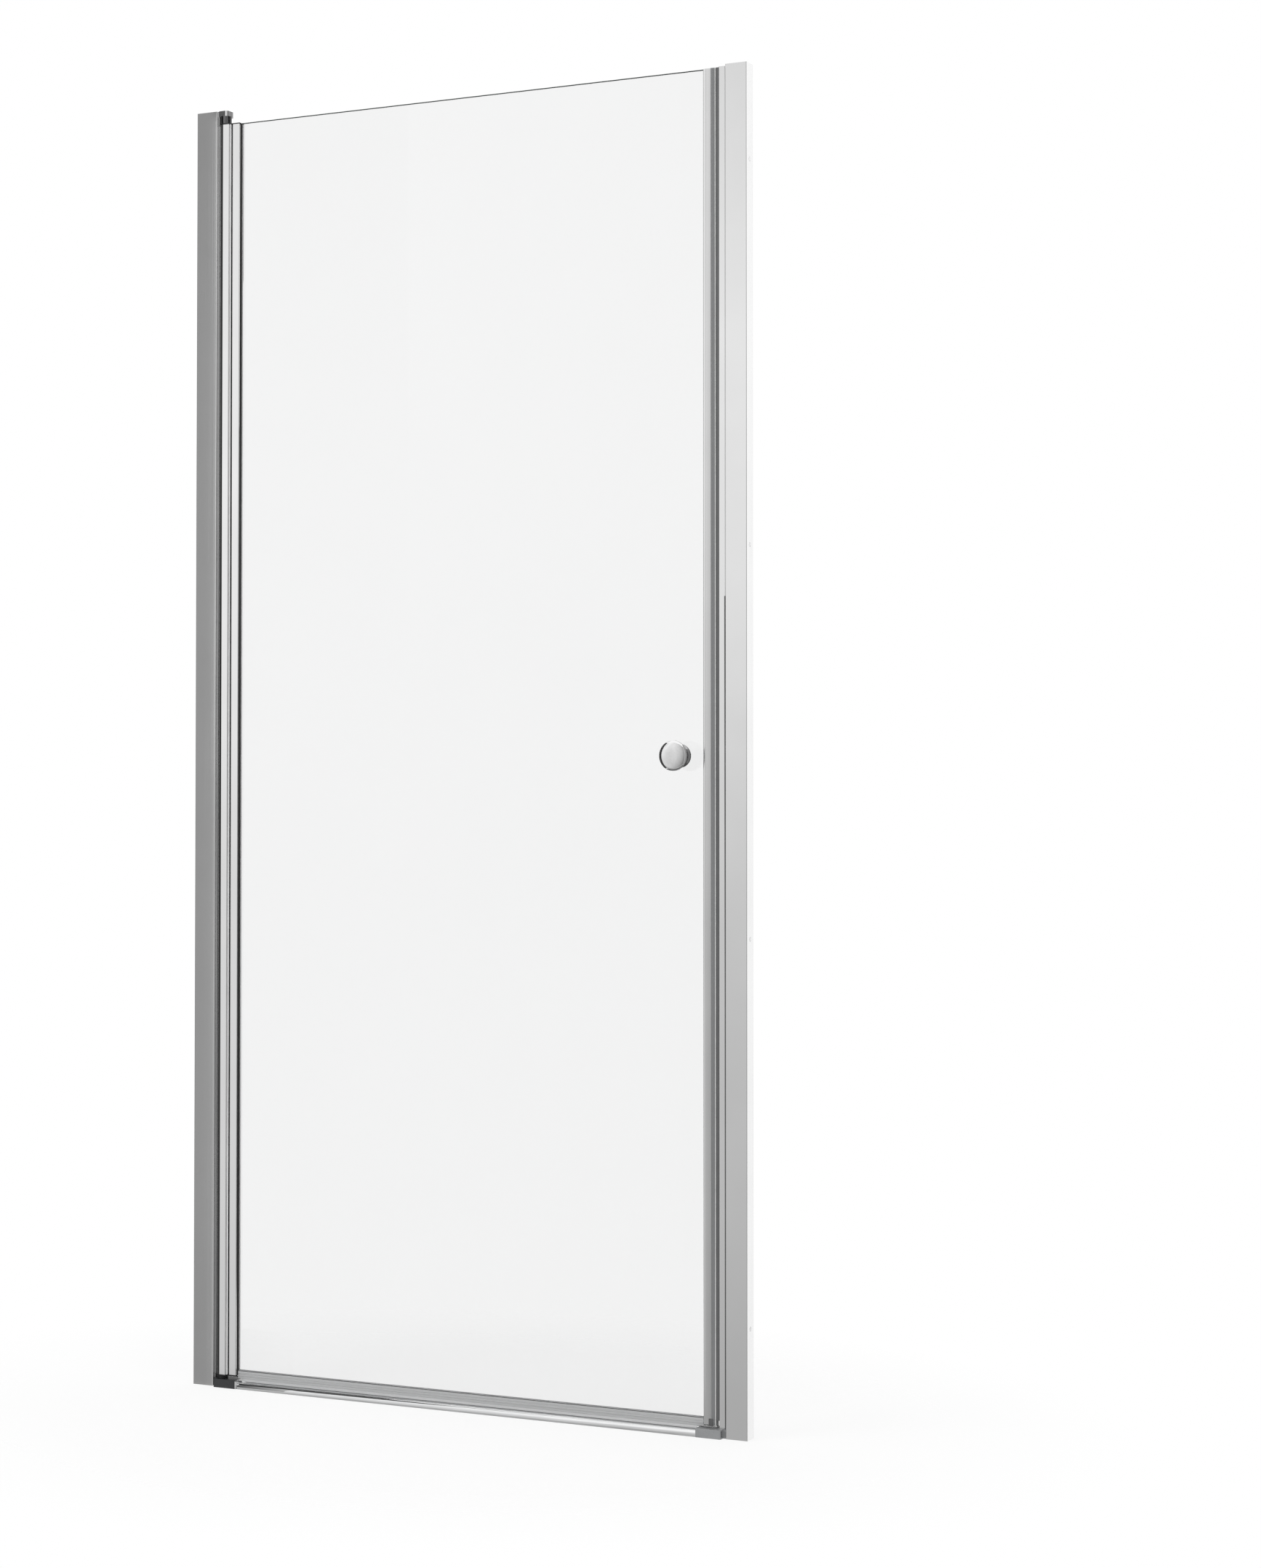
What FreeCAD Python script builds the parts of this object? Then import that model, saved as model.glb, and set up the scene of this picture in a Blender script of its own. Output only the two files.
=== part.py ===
import FreeCAD, Part
import math
import os

# Niche shower door, millimetres. +Z is up, -Y faces the room, +X runs from the hinge wall to the strike wall.
# The origin is on the shower tray, midway between the walls, in the middle plane of the glass.

# Niche
niche_width = 900.0
strike_side_height = 1882.5
leaf_drop = 2.5

# Wall channels
hinge_channel_flange = 35.3
strike_channel_flange = 32.0
channel_wall = 2.0
channel_front = 9.0
channel_depth = 22.0
channel_edge_round = 0.8
wall_hole_radius = 3.0
wall_hole_end_inset = 150.0
wall_hole_inner_share = 0.3375

# Jambs, which telescope in the channels
jamb_clearance = 0.3
jamb_width = 27.0
jamb_wall = 1.6
jamb_nose_wall = 3.6
jamb_round = 0.8
jamb_slot_width = 4.0
jamb_slot_depth = 2.2
hinge_line_inset = 1.0
strike_line_inset = 9.0
jamb_line_width = 1.0
jamb_line_depth = 0.7
jamb_top_gap = 2.0
hinge_jamb_reach = 38.4
strike_jamb_reach = 42.7
insert_clearance = 0.1

# Pivot
pivot_inset = 48.0
pivot_lead = 3.5
pin_radius = 4.0
pin_clearance = 0.05
pin_collar_radius = 8.0
pin_collar_gap = 0.6
pin_end_chamfer = 0.6
bush_length = 16.0
bush_flange = 4.4
bush_flange_round = 0.5
thrust_gap = 0.1

# Glass
glass_thickness = 6.0
glass_arris = 0.5
glass_inset = 21.0
glass_edge_gap = 0.6

# Hinge profile and its clamp, measured from the pivot axis along the leaf
barrel_radius = 8.5
barrel_bore = 6.0
band_reach = 10.6
band_round = 1.0
heel_toe = 6.0
heel_reach = 8.5
clamp_reach = 26.8
clamp_gap = 3.7
clamp_strip_thickness = 4.6
clamp_gasket_thickness = 0.9
clamp_lip_width = 0.6
front_lip_height = 2.2
rear_lip_height = 1.8
groove_strip_width = 1.5
groove_strip_height = 2.5
rear_jaw_thickness = 2.6
clamp_round = 0.9
clamp_screw_reach = 17.5
clamp_screw_bite = 3.0
clamp_screw_shares = (0.04, 0.224, 0.408, 0.592, 0.776, 0.96)
top_cap_thickness = 1.6
bottom_cap_thickness = 1.9
cap_hole_gap = 0.6

# Screws
screw_radius = 2.0
screw_hole_gap = 0.05
screw_head_radius = 3.8
screw_head_height = 2.4
screw_head_round = 1.0
screw_drive_radius = 1.3
screw_drive_depth = 1.2
jamb_screw_bite = 3.0
block_screw_bite = 8.0
block_screw_spacing = 8.0
block_screw_inset = 19.5
lock_screw_inset = 22.0
lock_screw_shares = (0.105, 0.5, 0.895)
cover_wall = 1.2
cover_gap = 0.1
cover_round = 0.8

# Top pivot bracket
bracket_height = 8.2
leaf_top_gap = 11.8
bracket_reach = 5.6
bracket_front_round = 4.0
bracket_rear_round = 6.0
tongue_length = 22.5

# Threshold
bar_front = 15.0
bar_rear = 4.0
bar_height = 9.5
bar_wall = 1.6
bar_front_round = 7.0
bar_rear_round = 2.4
bar_foot_round = 0.4
end_block_height = 12.4
end_block_front = 16.0
hinge_block_reach = 77.5
hinge_block_gap = 40.0
strike_block_reach = 75.0
strike_block_gap = 37.0
end_block_round = 1.6
end_block_top_round = 0.9
end_pocket_depth = 8.0
end_pocket_clearance = 0.15
end_hollow_wall = 2.0
end_hollow_depth = 8.0
block_plate_thickness = 2.6
dam_thickness = 2.0
dam_setback = 1.2
dam_height = 11.5
dam_foot = 25.3
dam_inset = 1.0
dam_lean = 5.0

# Closing seals
seal_wall = 1.25
seal_glass_gap = 0.15
seal_edge_gap = 0.3
seal_flange = 10.0
seal_web = 1.4
chamber_width = 7.1
chamber_half_depth = 4.8
chamber_wall = 0.8
magnet_gap = 0.1
seal_meeting_gap = 0.5
seal_round = 0.4
carrier_depth = 5.0
carrier_floor = 23.0
chamber_floor = 15.5
seal_flange_floor = 16.5
gasket_front = 5.4
gasket_rear = 8.0
gasket_face = 0.5

# Drip seal
drip_glass_gap = 3.0
drip_flange_height = 26.0
drip_wall = 1.25
drip_base = 1.5
drip_side_gap = 0.4
fin_thickness = 0.9
fin_root = 3.9
fin_front_tip = 6.4
fin_rear_tip = 7.6
fin_bar_gap = 0.6
fin_end_gap = 1.5

# Knob
knob_height = 931.0
knob_inset = 45.0
knob_length = 29.0
knob_radius = 21.0
knob_collar_radius = 13.5
knob_collar_length = 3.0
knob_neck_radius = 12.0
knob_neck_length = 4.4
knob_flare_radius = 19.0
knob_flare_length = 21.8
knob_flare_sag = 0.9
knob_rim_back = 22.8
knob_rim_front = 25.6
knob_face_radius = 20.3
knob_face_edge = 26.6
knob_washer_thickness = 1.0
knob_washer_radius = 12.5
rear_washer_radius = 8.0
knob_cap_radius = 8.5
knob_cap_length = 6.0
knob_cap_round = 2.0
knob_hole_radius = 6.0
knob_sleeve_gap = 0.05
knob_stud_radius = 3.0
knob_stud_gap = 0.05
knob_stud_bite = 8.0
knob_cap_bite = 3.6
knob_stud_hole_spare = 1.0

# Cuts run past the faces that they open by this much
overrun = 1.0

# Places worked out from the sizes above
half_width = niche_width / 2
leaf_top = strike_side_height - leaf_drop
hinge_side_height = leaf_top + leaf_top_gap + bracket_height
pivot_x = pivot_inset - half_width
pivot_y = -pivot_lead
channel_rear = channel_depth - channel_front
channel_middle = (channel_rear - channel_front) / 2
jamb_front_y = channel_wall + jamb_clearance - channel_front
jamb_rear_y = channel_rear - channel_wall - jamb_clearance
hinge_nose_x = hinge_jamb_reach - half_width
strike_nose_x = half_width - strike_jamb_reach
bracket_floor = hinge_side_height - bracket_height
wall_hole_height = hinge_side_height / 2
wall_hole_outer_spacing = hinge_side_height - wall_hole_end_inset * 2
wall_hole_inner_spacing = wall_hole_outer_spacing * wall_hole_inner_share
hinge_block_inner = hinge_block_reach - half_width
hinge_block_outer = hinge_block_gap - half_width
hinge_plate_x = hinge_block_inner + block_plate_thickness
strike_block_inner = half_width - strike_block_reach
strike_block_outer = half_width - strike_block_gap
leaf_bottom = end_block_height + thrust_gap + bush_flange
profile_bottom = leaf_bottom + bottom_cap_thickness
profile_top = leaf_top - top_cap_thickness
profile_height = profile_top - profile_bottom
glass_half = glass_thickness / 2
glass_bottom = end_block_height + drip_glass_gap
glass_left = pivot_x + glass_inset
carrier_x = strike_nose_x - carrier_depth
chamber_right = carrier_x - seal_meeting_gap
chamber_left = chamber_right - chamber_width
web_left = chamber_left - seal_web
seal_left = web_left - seal_flange
glass_right = web_left - seal_edge_gap
clamp_seat = glass_half + clamp_gasket_thickness
clamp_front_y = -clamp_seat - clamp_strip_thickness
jaw_rear_y = clamp_seat + rear_jaw_thickness
clamp_end_x = pivot_x + clamp_reach
band_end_x = pivot_x + band_reach
strip_start_x = band_end_x + clamp_gap
clamp_lip_x = clamp_end_x + clamp_lip_width
slot_floor_x = glass_left - glass_edge_gap
seal_outer = glass_half + seal_glass_gap + seal_wall
drip_outer = glass_half + seal_glass_gap + drip_wall
drip_floor = glass_bottom - seal_edge_gap - drip_base
knob_x = glass_right - knob_inset

UP = FreeCAD.Vector(0, 0, 1)
ALONG = FreeCAD.Vector(1, 0, 0)
BACK = FreeCAD.Vector(0, 1, 0)
ORIGIN = FreeCAD.Vector(0, 0, 0)


def box(x0, x1, y0, y1, z0, z1):
    """A block between two corners, given in any order."""
    low = FreeCAD.Vector(min(x0, x1), min(y0, y1), min(z0, z1))
    return Part.makeBox(abs(x1 - x0), abs(y1 - y0), abs(z1 - z0), low)


def plan(a, b):
    """A point of a section that is drawn from above and stands along Z."""
    return FreeCAD.Vector(a, b, 0)


def end_on(a, b):
    """A point of a section that is drawn from the side and lies along X."""
    return FreeCAD.Vector(0, a, b)


def section(corners, place=plan):
    """A closed face whose corners are (a, b) or (a, b, radius)."""
    spots = [FreeCAD.Vector(corner[0], corner[1], 0) for corner in corners]
    joins = []
    for index, corner in enumerate(corners):
        here = spots[index]
        radius = corner[2] if len(corner) > 2 else 0
        if not radius:
            joins.append((here, None, here))
            continue
        back = (spots[index - 1] - here).normalize()
        ahead = (spots[(index + 1) % len(spots)] - here).normalize()
        half_angle = back.getAngle(ahead) / 2
        reach = radius / math.tan(half_angle)
        inward = (back + ahead).normalize()
        middle = here + inward * (radius / math.sin(half_angle) - radius)
        joins.append((here + back * reach, middle, here + ahead * reach))
    edges = []
    for index, (start, middle, end) in enumerate(joins):
        before = joins[index - 1][2]
        if before.distanceToPoint(start) > Part.Precision.confusion():
            edges.append(Part.LineSegment(place(before.x, before.y), place(start.x, start.y)).toShape())
        if middle:
            spots_on_arc = [place(spot.x, spot.y) for spot in (start, middle, end)]
            edges.append(Part.Arc(*spots_on_arc).toShape())
    return Part.Face(Part.Wire(edges))


def rectangle(a0, a1, b0, b1, radius=0):
    """Corners of a rectangle, all with one radius."""
    return [(a0, b0, radius), (a1, b0, radius), (a1, b1, radius), (a0, b1, radius)]


def upright(corners, bottom, top):
    """A section drawn from above, from one height to another."""
    face = section(corners)
    face.translate(UP * bottom)
    return face.extrude(UP * (top - bottom))


def lengthwise(corners, left, right):
    """A section drawn from the side, from one X to another."""
    face = section(corners, end_on)
    face.translate(ALONG * left)
    return face.extrude(ALONG * (right - left))


def rod(radius, start, direction, length):
    """A round bar."""
    return Part.makeCylinder(radius, length, start, direction)


def round_edges(shape, radius, wanted):
    """Fillet the edges whose middle point passes a test."""
    chosen = [edge for edge in shape.Edges if wanted(edge.CenterOfMass)]
    return shape.makeFillet(radius, chosen)


def near(value, target):
    """Whether two places are the same."""
    return abs(value - target) < Part.Precision.approximation()


def mirrored(shape):
    """The same piece on the other wall."""
    return shape.mirror(ORIGIN, ALONG)


def screw(seat, direction, length):
    """A pan-head screw whose head stands on its seat, with its shank along a direction."""
    head = rod(screw_head_radius, seat, direction * -1, screw_head_height)
    crown = seat - direction * screw_head_height
    rim = [edge for edge in head.Edges if edge.CenterOfMass.distanceToPoint(crown) < screw_drive_depth]
    head = head.makeFillet(screw_head_round, rim[:1])
    socket = rod(screw_drive_radius, crown, direction, screw_drive_depth)
    return head.fuse(rod(screw_radius, seat, direction, length)).cut(socket).removeSplitter()


def screw_hole(seat, direction, length):
    """The hole that a screw passes through."""
    start = seat - direction * overrun
    return rod(screw_radius + screw_hole_gap, start, direction, length + overrun)


def rear_seat(x, height):
    """Where a screw's head meets the rear flange of a channel."""
    return FreeCAD.Vector(x, channel_rear, height)


def block_screw_places(height):
    """Seats of the two screws that hold a tongue in the hinge channel."""
    first = block_screw_inset - half_width
    return [rear_seat(first + step * block_screw_spacing, height) for step in (0, 1)]


def lock_screw_places(side):
    """Seats of the screws that lock one jamb, with side -1 for the hinge wall and 1 for the strike wall."""
    x = side * (half_width - lock_screw_inset)
    return [rear_seat(x, share * strike_side_height) for share in lock_screw_shares]


tongue_screw_length = channel_wall + jamb_clearance + block_screw_bite
lock_screw_length = channel_wall + jamb_clearance + jamb_wall + jamb_screw_bite
end_screw_height = end_block_height / 2
bracket_screw_height = hinge_side_height - bracket_height / 2


def wall_channel(height, flange):
    """U-channel on the hinge wall, open towards the leaf."""
    wall_x = -half_width
    lip_x = flange - half_width
    inner_x = wall_x + channel_wall
    inner_front = channel_wall - channel_front
    inner_rear = channel_rear - channel_wall
    corners = [
        (wall_x, -channel_front, channel_edge_round),
        (lip_x, -channel_front, channel_edge_round),
        (lip_x, inner_front, channel_edge_round),
        (inner_x, inner_front),
        (inner_x, inner_rear),
        (lip_x, inner_rear, channel_edge_round),
        (lip_x, channel_rear, channel_edge_round),
        (wall_x, channel_rear, channel_edge_round),
    ]
    channel = upright(corners, 0, height)
    for spacing in (wall_hole_outer_spacing, wall_hole_inner_spacing):
        for end in (-1, 1):
            place = FreeCAD.Vector(wall_x - overrun, channel_middle, wall_hole_height + end * spacing / 2)
            channel = channel.cut(rod(wall_hole_radius, place, ALONG, channel_wall + overrun * 2))
    return channel


def drilled(piece, seats, length):
    """A piece with its screw holes, drilled from the rear."""
    for seat in seats:
        piece = piece.cut(screw_hole(seat, BACK * -1, length))
    return piece


def jamb(nose_x, line_inset, bottom, top):
    """Inner profile of the hinge side, open towards the wall, with an insert slot in its nose."""
    back_x = nose_x - jamb_width
    inner_x = nose_x - jamb_nose_wall
    slot_x = nose_x - jamb_slot_depth
    slot_half = jamb_slot_width / 2
    line_x = nose_x - line_inset
    line_floor = jamb_front_y + jamb_line_depth
    corners = [
        (back_x, jamb_front_y),
        (line_x - jamb_line_width, jamb_front_y),
        (line_x - jamb_line_width, line_floor),
        (line_x, line_floor),
        (line_x, jamb_front_y),
        (nose_x, jamb_front_y, jamb_round),
        (nose_x, -slot_half),
        (slot_x, -slot_half),
        (slot_x, slot_half),
        (nose_x, slot_half),
        (nose_x, jamb_rear_y, jamb_round),
        (back_x, jamb_rear_y),
        (back_x, jamb_rear_y - jamb_wall),
        (inner_x, jamb_rear_y - jamb_wall),
        (inner_x, jamb_front_y + jamb_wall),
        (back_x, jamb_front_y + jamb_wall),
    ]
    return upright(corners, bottom, top)


def nose_insert(nose_x, face_x, front_y, rear_y, bottom, top):
    """A strip that stands on a jamb's nose, with a foot in the nose's slot."""
    foot_half = jamb_slot_width / 2 - insert_clearance
    foot_x = nose_x - jamb_slot_depth + insert_clearance
    corners = [
        (foot_x, -foot_half),
        (foot_x, foot_half),
        (nose_x, foot_half),
        (nose_x, rear_y),
        (face_x, rear_y, seal_round),
        (face_x, front_y, seal_round),
        (nose_x, front_y),
        (nose_x, -foot_half),
    ]
    return upright(corners, bottom, top)


def strike_carrier():
    """Seal carrier on the strike jamb, built on the hinge side and mirrored, and the magnet in it."""
    nose_x = -strike_nose_x
    face_x = -carrier_x
    carrier = nose_insert(nose_x, face_x, -chamber_half_depth, chamber_half_depth, carrier_floor, leaf_top)
    hole = rectangle(
        nose_x + chamber_wall,
        face_x - chamber_wall,
        chamber_wall - chamber_half_depth,
        chamber_half_depth - chamber_wall,
    )
    carrier = carrier.cut(upright(hole, carrier_floor - overrun, leaf_top + overrun))
    strip = rectangle(
        nose_x + chamber_wall + magnet_gap,
        face_x - chamber_wall - magnet_gap,
        chamber_wall + magnet_gap - chamber_half_depth,
        chamber_half_depth - chamber_wall - magnet_gap,
    )
    return mirrored(carrier), mirrored(upright(strip, carrier_floor, leaf_top))


def top_bracket():
    """Block on the hinge jamb: a tongue in the channel and a rounded head over the barrel."""
    head_end = pivot_x + bracket_reach
    head = [
        (hinge_nose_x, -channel_front, channel_edge_round),
        (head_end, -channel_front, bracket_front_round),
        (head_end, jamb_rear_y, bracket_rear_round),
        (hinge_nose_x, jamb_rear_y),
    ]
    block = upright(head, bracket_floor, hinge_side_height)
    tongue = box(
        hinge_nose_x - tongue_length, hinge_nose_x, jamb_front_y, jamb_rear_y, bracket_floor, hinge_side_height
    )
    block = block.fuse(tongue).removeSplitter()
    hole_start = FreeCAD.Vector(pivot_x, pivot_y, bracket_floor - overrun)
    block = block.cut(rod(pin_radius + pin_clearance, hole_start, UP, bracket_height + overrun * 2))
    return drilled(block, block_screw_places(bracket_screw_height), tongue_screw_length + overrun)


def pivot_pin(bottom, top):
    """A plain pin on the pivot axis, chamfered at both ends."""
    pin = rod(pin_radius, FreeCAD.Vector(pivot_x, pivot_y, bottom), UP, top - bottom)
    rims = [edge for edge in pin.Edges if near(edge.CenterOfMass.x, pivot_x) and edge.Closed]
    return pin.makeChamfer(pin_end_chamfer, rims)


def top_pin():
    """Upper pin, with a collar between the bracket and the leaf."""
    collar_floor = leaf_top + pin_collar_gap
    pin = pivot_pin(profile_top - bush_length, hinge_side_height)
    collar_foot = FreeCAD.Vector(pivot_x, pivot_y, collar_floor)
    return pin.fuse(rod(pin_collar_radius, collar_foot, UP, bracket_floor - collar_floor)).removeSplitter()


def bar_section(grow):
    """Outline of the threshold bar, grown by a clearance on its sides and top."""
    return [
        (-bar_front - grow, 0, bar_foot_round),
        (-bar_front - grow, bar_height + grow, bar_front_round + grow),
        (bar_rear + grow, bar_height + grow, bar_rear_round + grow),
        (bar_rear + grow, 0, bar_foot_round),
    ]


def threshold():
    """Hollow bar across the foot of the niche, with its ends in the end blocks."""
    left = hinge_block_inner - end_pocket_depth
    right = strike_block_inner + end_pocket_depth
    hollow = [
        (bar_wall - bar_front, bar_wall),
        (bar_wall - bar_front, bar_height - bar_wall, bar_front_round - bar_wall),
        (bar_rear - bar_wall, bar_height - bar_wall, bar_rear_round - bar_wall),
        (bar_rear - bar_wall, bar_wall),
    ]
    return lengthwise(bar_section(0), left, right).cut(lengthwise(hollow, left - overrun, right + overrun))


def end_block(outer, inner):
    """Left end of the threshold: a nose in front, and a tongue under the jamb in the channel."""
    nose = box(outer, inner, -end_block_front, jamb_rear_y, 0, end_block_height)
    nose = round_edges(
        nose, end_block_round, lambda spot: near(spot.y, -end_block_front) and near(spot.z, end_block_height / 2)
    )
    nose = round_edges(
        nose, end_block_top_round, lambda spot: near(spot.z, end_block_height) and spot.y < -end_block_front / 2
    )
    tongue_end = hinge_nose_x - tongue_length
    tongue = box(tongue_end, outer, jamb_front_y, jamb_rear_y, 0, end_block_height)
    block = nose.fuse(tongue).removeSplitter()
    pocket_end = inner - end_pocket_depth - end_pocket_clearance
    block = block.cut(lengthwise(bar_section(end_pocket_clearance), pocket_end, inner + overrun))
    hollow = box(
        outer - overrun,
        outer + end_hollow_depth,
        end_hollow_wall - end_block_front,
        jamb_front_y - end_hollow_wall,
        end_hollow_wall,
        end_block_height - end_hollow_wall,
    )
    return drilled(block.cut(hollow), block_screw_places(end_screw_height), tongue_screw_length + overrun)


def pivot_block():
    """The hinge side's end block, bored for the lower pin."""
    floor = FreeCAD.Vector(pivot_x, pivot_y, end_hollow_wall)
    block = end_block(hinge_block_outer, hinge_block_inner)
    return block.cut(rod(pin_radius + pin_clearance, floor, UP, end_block_height))


def block_plate():
    """Bright plate on the inner end of the pivot block, which the bar passes through."""
    outline = [
        (-end_block_front, 0),
        (-end_block_front, end_block_height, end_block_round),
        (jamb_rear_y, end_block_height),
        (jamb_rear_y, 0),
    ]
    plate = lengthwise(outline, hinge_block_inner, hinge_plate_x)
    opening = lengthwise(bar_section(end_pocket_clearance), hinge_block_inner - overrun, hinge_plate_x + overrun)
    return plate.cut(opening)


def corner_dam():
    """Small upright plate on the strike end cap, behind the leaf."""
    left = strike_block_inner + dam_inset
    top = end_block_height + dam_height
    rear = seal_outer + dam_setback
    right = left + dam_foot
    corners = [
        FreeCAD.Vector(left, rear, end_block_height),
        FreeCAD.Vector(right, rear, end_block_height),
        FreeCAD.Vector(right - dam_lean, rear, top),
        FreeCAD.Vector(left, rear, top),
    ]
    return Part.Face(Part.makePolygon(corners + corners[:1])).extrude(BACK * dam_thickness)


def screw_cover(seat):
    """A round cover over a lock screw's head."""
    inner = screw_head_radius + cover_gap
    depth = screw_head_height + cover_gap
    cover = rod(inner + cover_wall, seat, BACK, depth + cover_wall)
    cover = round_edges(cover, cover_round, lambda spot: near(spot.y, channel_rear + depth + cover_wall))
    return cover.cut(rod(inner, seat - BACK * overrun, BACK, depth + overrun))


def channel_plug():
    """Plate that closes the top of the strike channel, standing on the jamb."""
    left = half_width - strike_channel_flange
    right = half_width - channel_wall - jamb_clearance
    bottom = strike_side_height - jamb_top_gap
    return upright(rectangle(left, right, jamb_front_y, jamb_rear_y, jamb_round), bottom, strike_side_height)


def glass_panel():
    """The pane, with seamed edges and a hole for the knob."""
    pane = box(glass_left, glass_right, -glass_half, glass_half, glass_bottom, leaf_top)
    pane = pane.makeChamfer(glass_arris, [edge for edge in pane.Edges if not near(edge.CenterOfMass.y, 0)])
    return pane.cut(rod(knob_hole_radius, FreeCAD.Vector(knob_x, -glass_half - overrun, knob_height), BACK,
                        glass_thickness + overrun * 2))


def barrel_and(corners, bottom, top):
    """The barrel, and the part of the leaf beside it that a list of corners closes."""
    front = (pivot_x, pivot_y - barrel_radius)
    rear = (pivot_x, pivot_y + barrel_radius)
    barrel = rod(barrel_radius, FreeCAD.Vector(pivot_x, pivot_y, bottom), UP, top - bottom)
    return barrel.fuse(upright([front] + corners + [rear], bottom, top)).removeSplitter()


def clamp_screw_places():
    """Seats of the clamp screws on the rear jaw."""
    x = pivot_x + clamp_screw_reach
    return [FreeCAD.Vector(x, jaw_rear_y, profile_bottom + share * profile_height) for share in clamp_screw_shares]


clamp_screw_length = jaw_rear_y + clamp_seat + clamp_screw_bite


def hinge_profile():
    """Extrusion with the pivot barrel, the seat of the clamp strip and the rear jaw."""
    corners = [
        (band_end_x, pivot_y - barrel_radius, band_round),
        (band_end_x, -clamp_seat),
        (slot_floor_x, -clamp_seat),
        (slot_floor_x, clamp_seat),
        (clamp_end_x, clamp_seat, clamp_round),
        (clamp_end_x, jaw_rear_y, clamp_round),
        (pivot_x + heel_reach, jaw_rear_y, clamp_round),
        (pivot_x + heel_toe, pivot_y + barrel_radius),
    ]
    profile = barrel_and(corners, profile_bottom, profile_top)
    bore_start = FreeCAD.Vector(pivot_x, pivot_y, profile_bottom - overrun)
    profile = profile.cut(rod(barrel_bore, bore_start, UP, profile_height + overrun * 2))
    return drilled(profile, clamp_screw_places(), clamp_screw_length + overrun)


def clamp_strip():
    """Front jaw, pulled against the glass by the clamp screws."""
    corners = [
        (strip_start_x, clamp_front_y, clamp_round),
        (clamp_end_x, clamp_front_y, clamp_round),
        (clamp_end_x, -clamp_seat),
        (strip_start_x, -clamp_seat),
    ]
    return drilled(upright(corners, profile_bottom, profile_top), clamp_screw_places(), clamp_screw_length)


def groove_strip():
    """Dark strip that fills the foot of the groove between the barrel's band and the clamp strip."""
    front = -clamp_seat - groove_strip_height
    corners = [
        (band_end_x, front),
        (band_end_x + groove_strip_width, front, seal_round),
        (band_end_x + groove_strip_width, -clamp_seat),
        (band_end_x, -clamp_seat),
    ]
    return upright(corners, profile_bottom, profile_top)


def clamp_gasket(lip_height):
    """Thin strip between the front jaw and the glass, with a lip over the jaw's end."""
    corners = [
        (glass_left, -clamp_seat),
        (clamp_end_x, -clamp_seat),
        (clamp_end_x, -clamp_seat - lip_height),
        (clamp_lip_x, -clamp_seat - lip_height, seal_round),
        (clamp_lip_x, -glass_half),
        (glass_left, -glass_half),
    ]
    return upright(corners, profile_bottom, profile_top)


def profile_cap(bottom, top, hole_radius):
    """End cap of the hinge profile, notched for the glass."""
    corners = [
        (band_end_x, pivot_y - barrel_radius, band_round),
        (band_end_x, clamp_front_y),
        (clamp_end_x, clamp_front_y, clamp_round),
        (clamp_end_x, jaw_rear_y, clamp_round),
        (pivot_x + heel_reach, jaw_rear_y, clamp_round),
        (pivot_x + heel_toe, pivot_y + barrel_radius),
    ]
    cap = barrel_and(corners, bottom, top)
    notch = box(slot_floor_x, clamp_end_x + overrun, -clamp_seat, clamp_seat, bottom - overrun, top + overrun)
    hole = rod(hole_radius, FreeCAD.Vector(pivot_x, pivot_y, bottom - overrun), UP, top - bottom + overrun * 2)
    return cap.cut(notch).cut(hole)


def bush(bottom, top):
    """A sleeve in the barrel's bore."""
    start = FreeCAD.Vector(pivot_x, pivot_y, bottom)
    return rod(barrel_bore - pin_clearance, start, UP, top - bottom)


def bored(piece, bottom, top):
    """A bush with its running bore."""
    start = FreeCAD.Vector(pivot_x, pivot_y, bottom - overrun)
    return piece.cut(rod(pin_radius + pin_clearance, start, UP, top - bottom + overrun * 2))


def bottom_bush():
    """Lower bush, with a flange that carries the leaf on the pivot block."""
    floor = leaf_bottom - bush_flange
    top = profile_bottom + bush_length
    flange = rod(barrel_radius, FreeCAD.Vector(pivot_x, pivot_y, floor), UP, bush_flange)
    flange = round_edges(flange, bush_flange_round, lambda spot: near(spot.z, floor))
    return bored(flange.fuse(bush(leaf_bottom, top)).removeSplitter(), floor, top)


def side_seal():
    """Seal on the closing edge of the glass: two flanges, a web and a magnet chamber."""
    inner = glass_half + seal_glass_gap
    grip = [
        (seal_left, -seal_outer, seal_round),
        (chamber_left, -seal_outer),
        (chamber_left, seal_outer),
        (seal_left, seal_outer, seal_round),
        (seal_left, inner, seal_round),
        (web_left, inner),
        (web_left, -inner),
        (seal_left, -inner, seal_round),
    ]
    seal = upright(grip, seal_flange_floor, leaf_top)
    chamber = rectangle(chamber_left, chamber_right, -chamber_half_depth, chamber_half_depth, seal_round)
    hole = chamber_box(chamber_wall)
    seal = seal.fuse(upright(chamber, chamber_floor, leaf_top)).removeSplitter()
    return seal.cut(upright(hole, chamber_floor - overrun, leaf_top + overrun))


def chamber_box(inset):
    """Outline inside the side seal's chamber."""
    half = chamber_half_depth - inset
    return rectangle(chamber_left + inset, chamber_right - inset, -half, half)


def side_magnet():
    """Magnet strip in the side seal."""
    return upright(chamber_box(chamber_wall + magnet_gap), chamber_floor, leaf_top)


def fin(root, tip, left, right):
    """A slanted wiper under the drip seal, with its root and its tip at two distances from the glass's middle."""
    top = drip_floor + drip_base / 2
    bottom = bar_height + fin_bar_gap
    lean = fin_thickness if tip < root else -fin_thickness
    return lengthwise([(root, top), (root + lean, top), (tip + lean, bottom), (tip, bottom)], left, right)


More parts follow.
